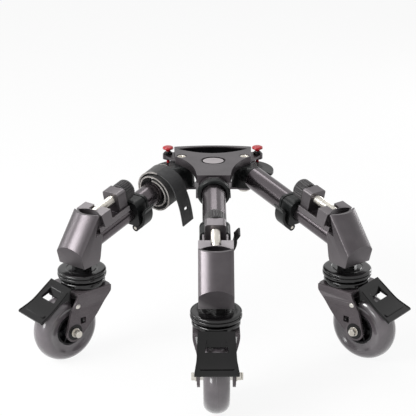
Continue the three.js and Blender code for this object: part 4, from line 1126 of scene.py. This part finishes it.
scene = bpy.context.scene
scene.view_settings.view_transform = "Standard"
world = bpy.data.worlds.new("studio")
scene.world = world
world.use_nodes = True
sky = world.node_tree
ambient = sky.nodes["Background"]
ambient.inputs["Color"].default_value = (1, 1, 1, 1)
ambient.inputs["Strength"].default_value = 0.42
white = node(sky, "ShaderNodeBackground", Strength=1.0)
white.inputs["Color"].default_value = (1, 1, 1, 1)
pick = node(sky, "ShaderNodeMixShader")
sky.links.new(seen_rays(sky), pick.inputs["Fac"])
sky.links.new(ambient.outputs["Background"], pick.inputs[1])
sky.links.new(white.outputs["Background"], pick.inputs[2])
sky.links.new(pick.outputs["Shader"], sky.nodes["World Output"].inputs["Surface"])

paper = bpy.data.materials.new("paper_floor")
paper.use_nodes = True
tree = paper.node_tree
diffuse = tree.nodes["Principled BSDF"]
diffuse.inputs["Roughness"].default_value = 1.0
diffuse.inputs["Specular IOR Level"].default_value = 0.0
fleck = node(tree, "ShaderNodeTexNoise", Scale=400.0, Detail=2.0)
tone = node(tree, "ShaderNodeValToRGB")
tone.color_ramp.elements[0].color = (0.86, 0.86, 0.86, 1)
tone.color_ramp.elements[1].color = (0.9, 0.9, 0.9, 1)
tree.links.new(fleck.outputs["Fac"], tone.inputs["Fac"])
tree.links.new(tone.outputs["Color"], diffuse.inputs["Base Color"])
glow = node(tree, "ShaderNodeEmission", Strength=1.0)
part = node(tree, "ShaderNodeMath", operation="MULTIPLY")
part.inputs[1].default_value = 0.9
mix = node(tree, "ShaderNodeMixShader")
tree.links.new(seen_rays(tree), part.inputs[0])
tree.links.new(part.outputs["Value"], mix.inputs["Fac"])
tree.links.new(diffuse.outputs["BSDF"], mix.inputs[1])
tree.links.new(glow.outputs["Emission"], mix.inputs[2])
tree.links.new(mix.outputs["Shader"], tree.nodes["Material Output"].inputs["Surface"])
FLOOR_HALF, FLOOR_DROP = 4, -0.0004
corners = [(x * FLOOR_HALF, y * FLOOR_HALF) for x, y in ((-1, -1), (1, -1), (1, 1), (-1, 1))]
floor_mesh = shell([(x, y, FLOOR_DROP) for x, y in corners], [[0, 1, 2, 3]])
floor_mesh.materials.append(paper)
floor = bpy.data.objects.new("floor", floor_mesh)
scene.collection.objects.link(floor)


def softbox(name, place, size, power):
    """An area lamp that looks at the middle of the dolly."""
    data = bpy.data.lights.new(name, "AREA")
    data.shape = "RECTANGLE"
    data.size, data.size_y = size
    data.energy = power
    lamp = bpy.data.objects.new(name, data)
    lamp.location = place
    lamp.rotation_euler = (Vector((0, 0, 0.1)) - Vector(place)).to_track_quat("-Z", "Y").to_euler()
    scene.collection.objects.link(lamp)


softbox("key", (-1.1, -0.55, 0.95), (0.8, 0.5), 22)
softbox("left_front", (-0.95, -1.25, 0.3), (0.4, 0.3), 3.5)
softbox("top", (-0.1, 0.8, 1.15), (0.6, 0.3), 2.5)
softbox("right_edge", (0.95, 0.95, 0.42), (0.25, 0.5), 5)
softbox("left_edge", (-1.2, 0.35, 0.5), (0.25, 0.5), 3)

lens = bpy.data.cameras.new("camera")
lens.sensor_width = 36
lens.lens = 1302.5 / 416 * 36
lens.clip_start = 0.01
camera = bpy.data.objects.new("camera", lens)
camera.location = (-0.01957, -1.28946, 0.67665)
camera.rotation_euler = (math.radians(90 - 21.525), 0, -math.radians(0.553))
scene.collection.objects.link(camera)
scene.camera = camera
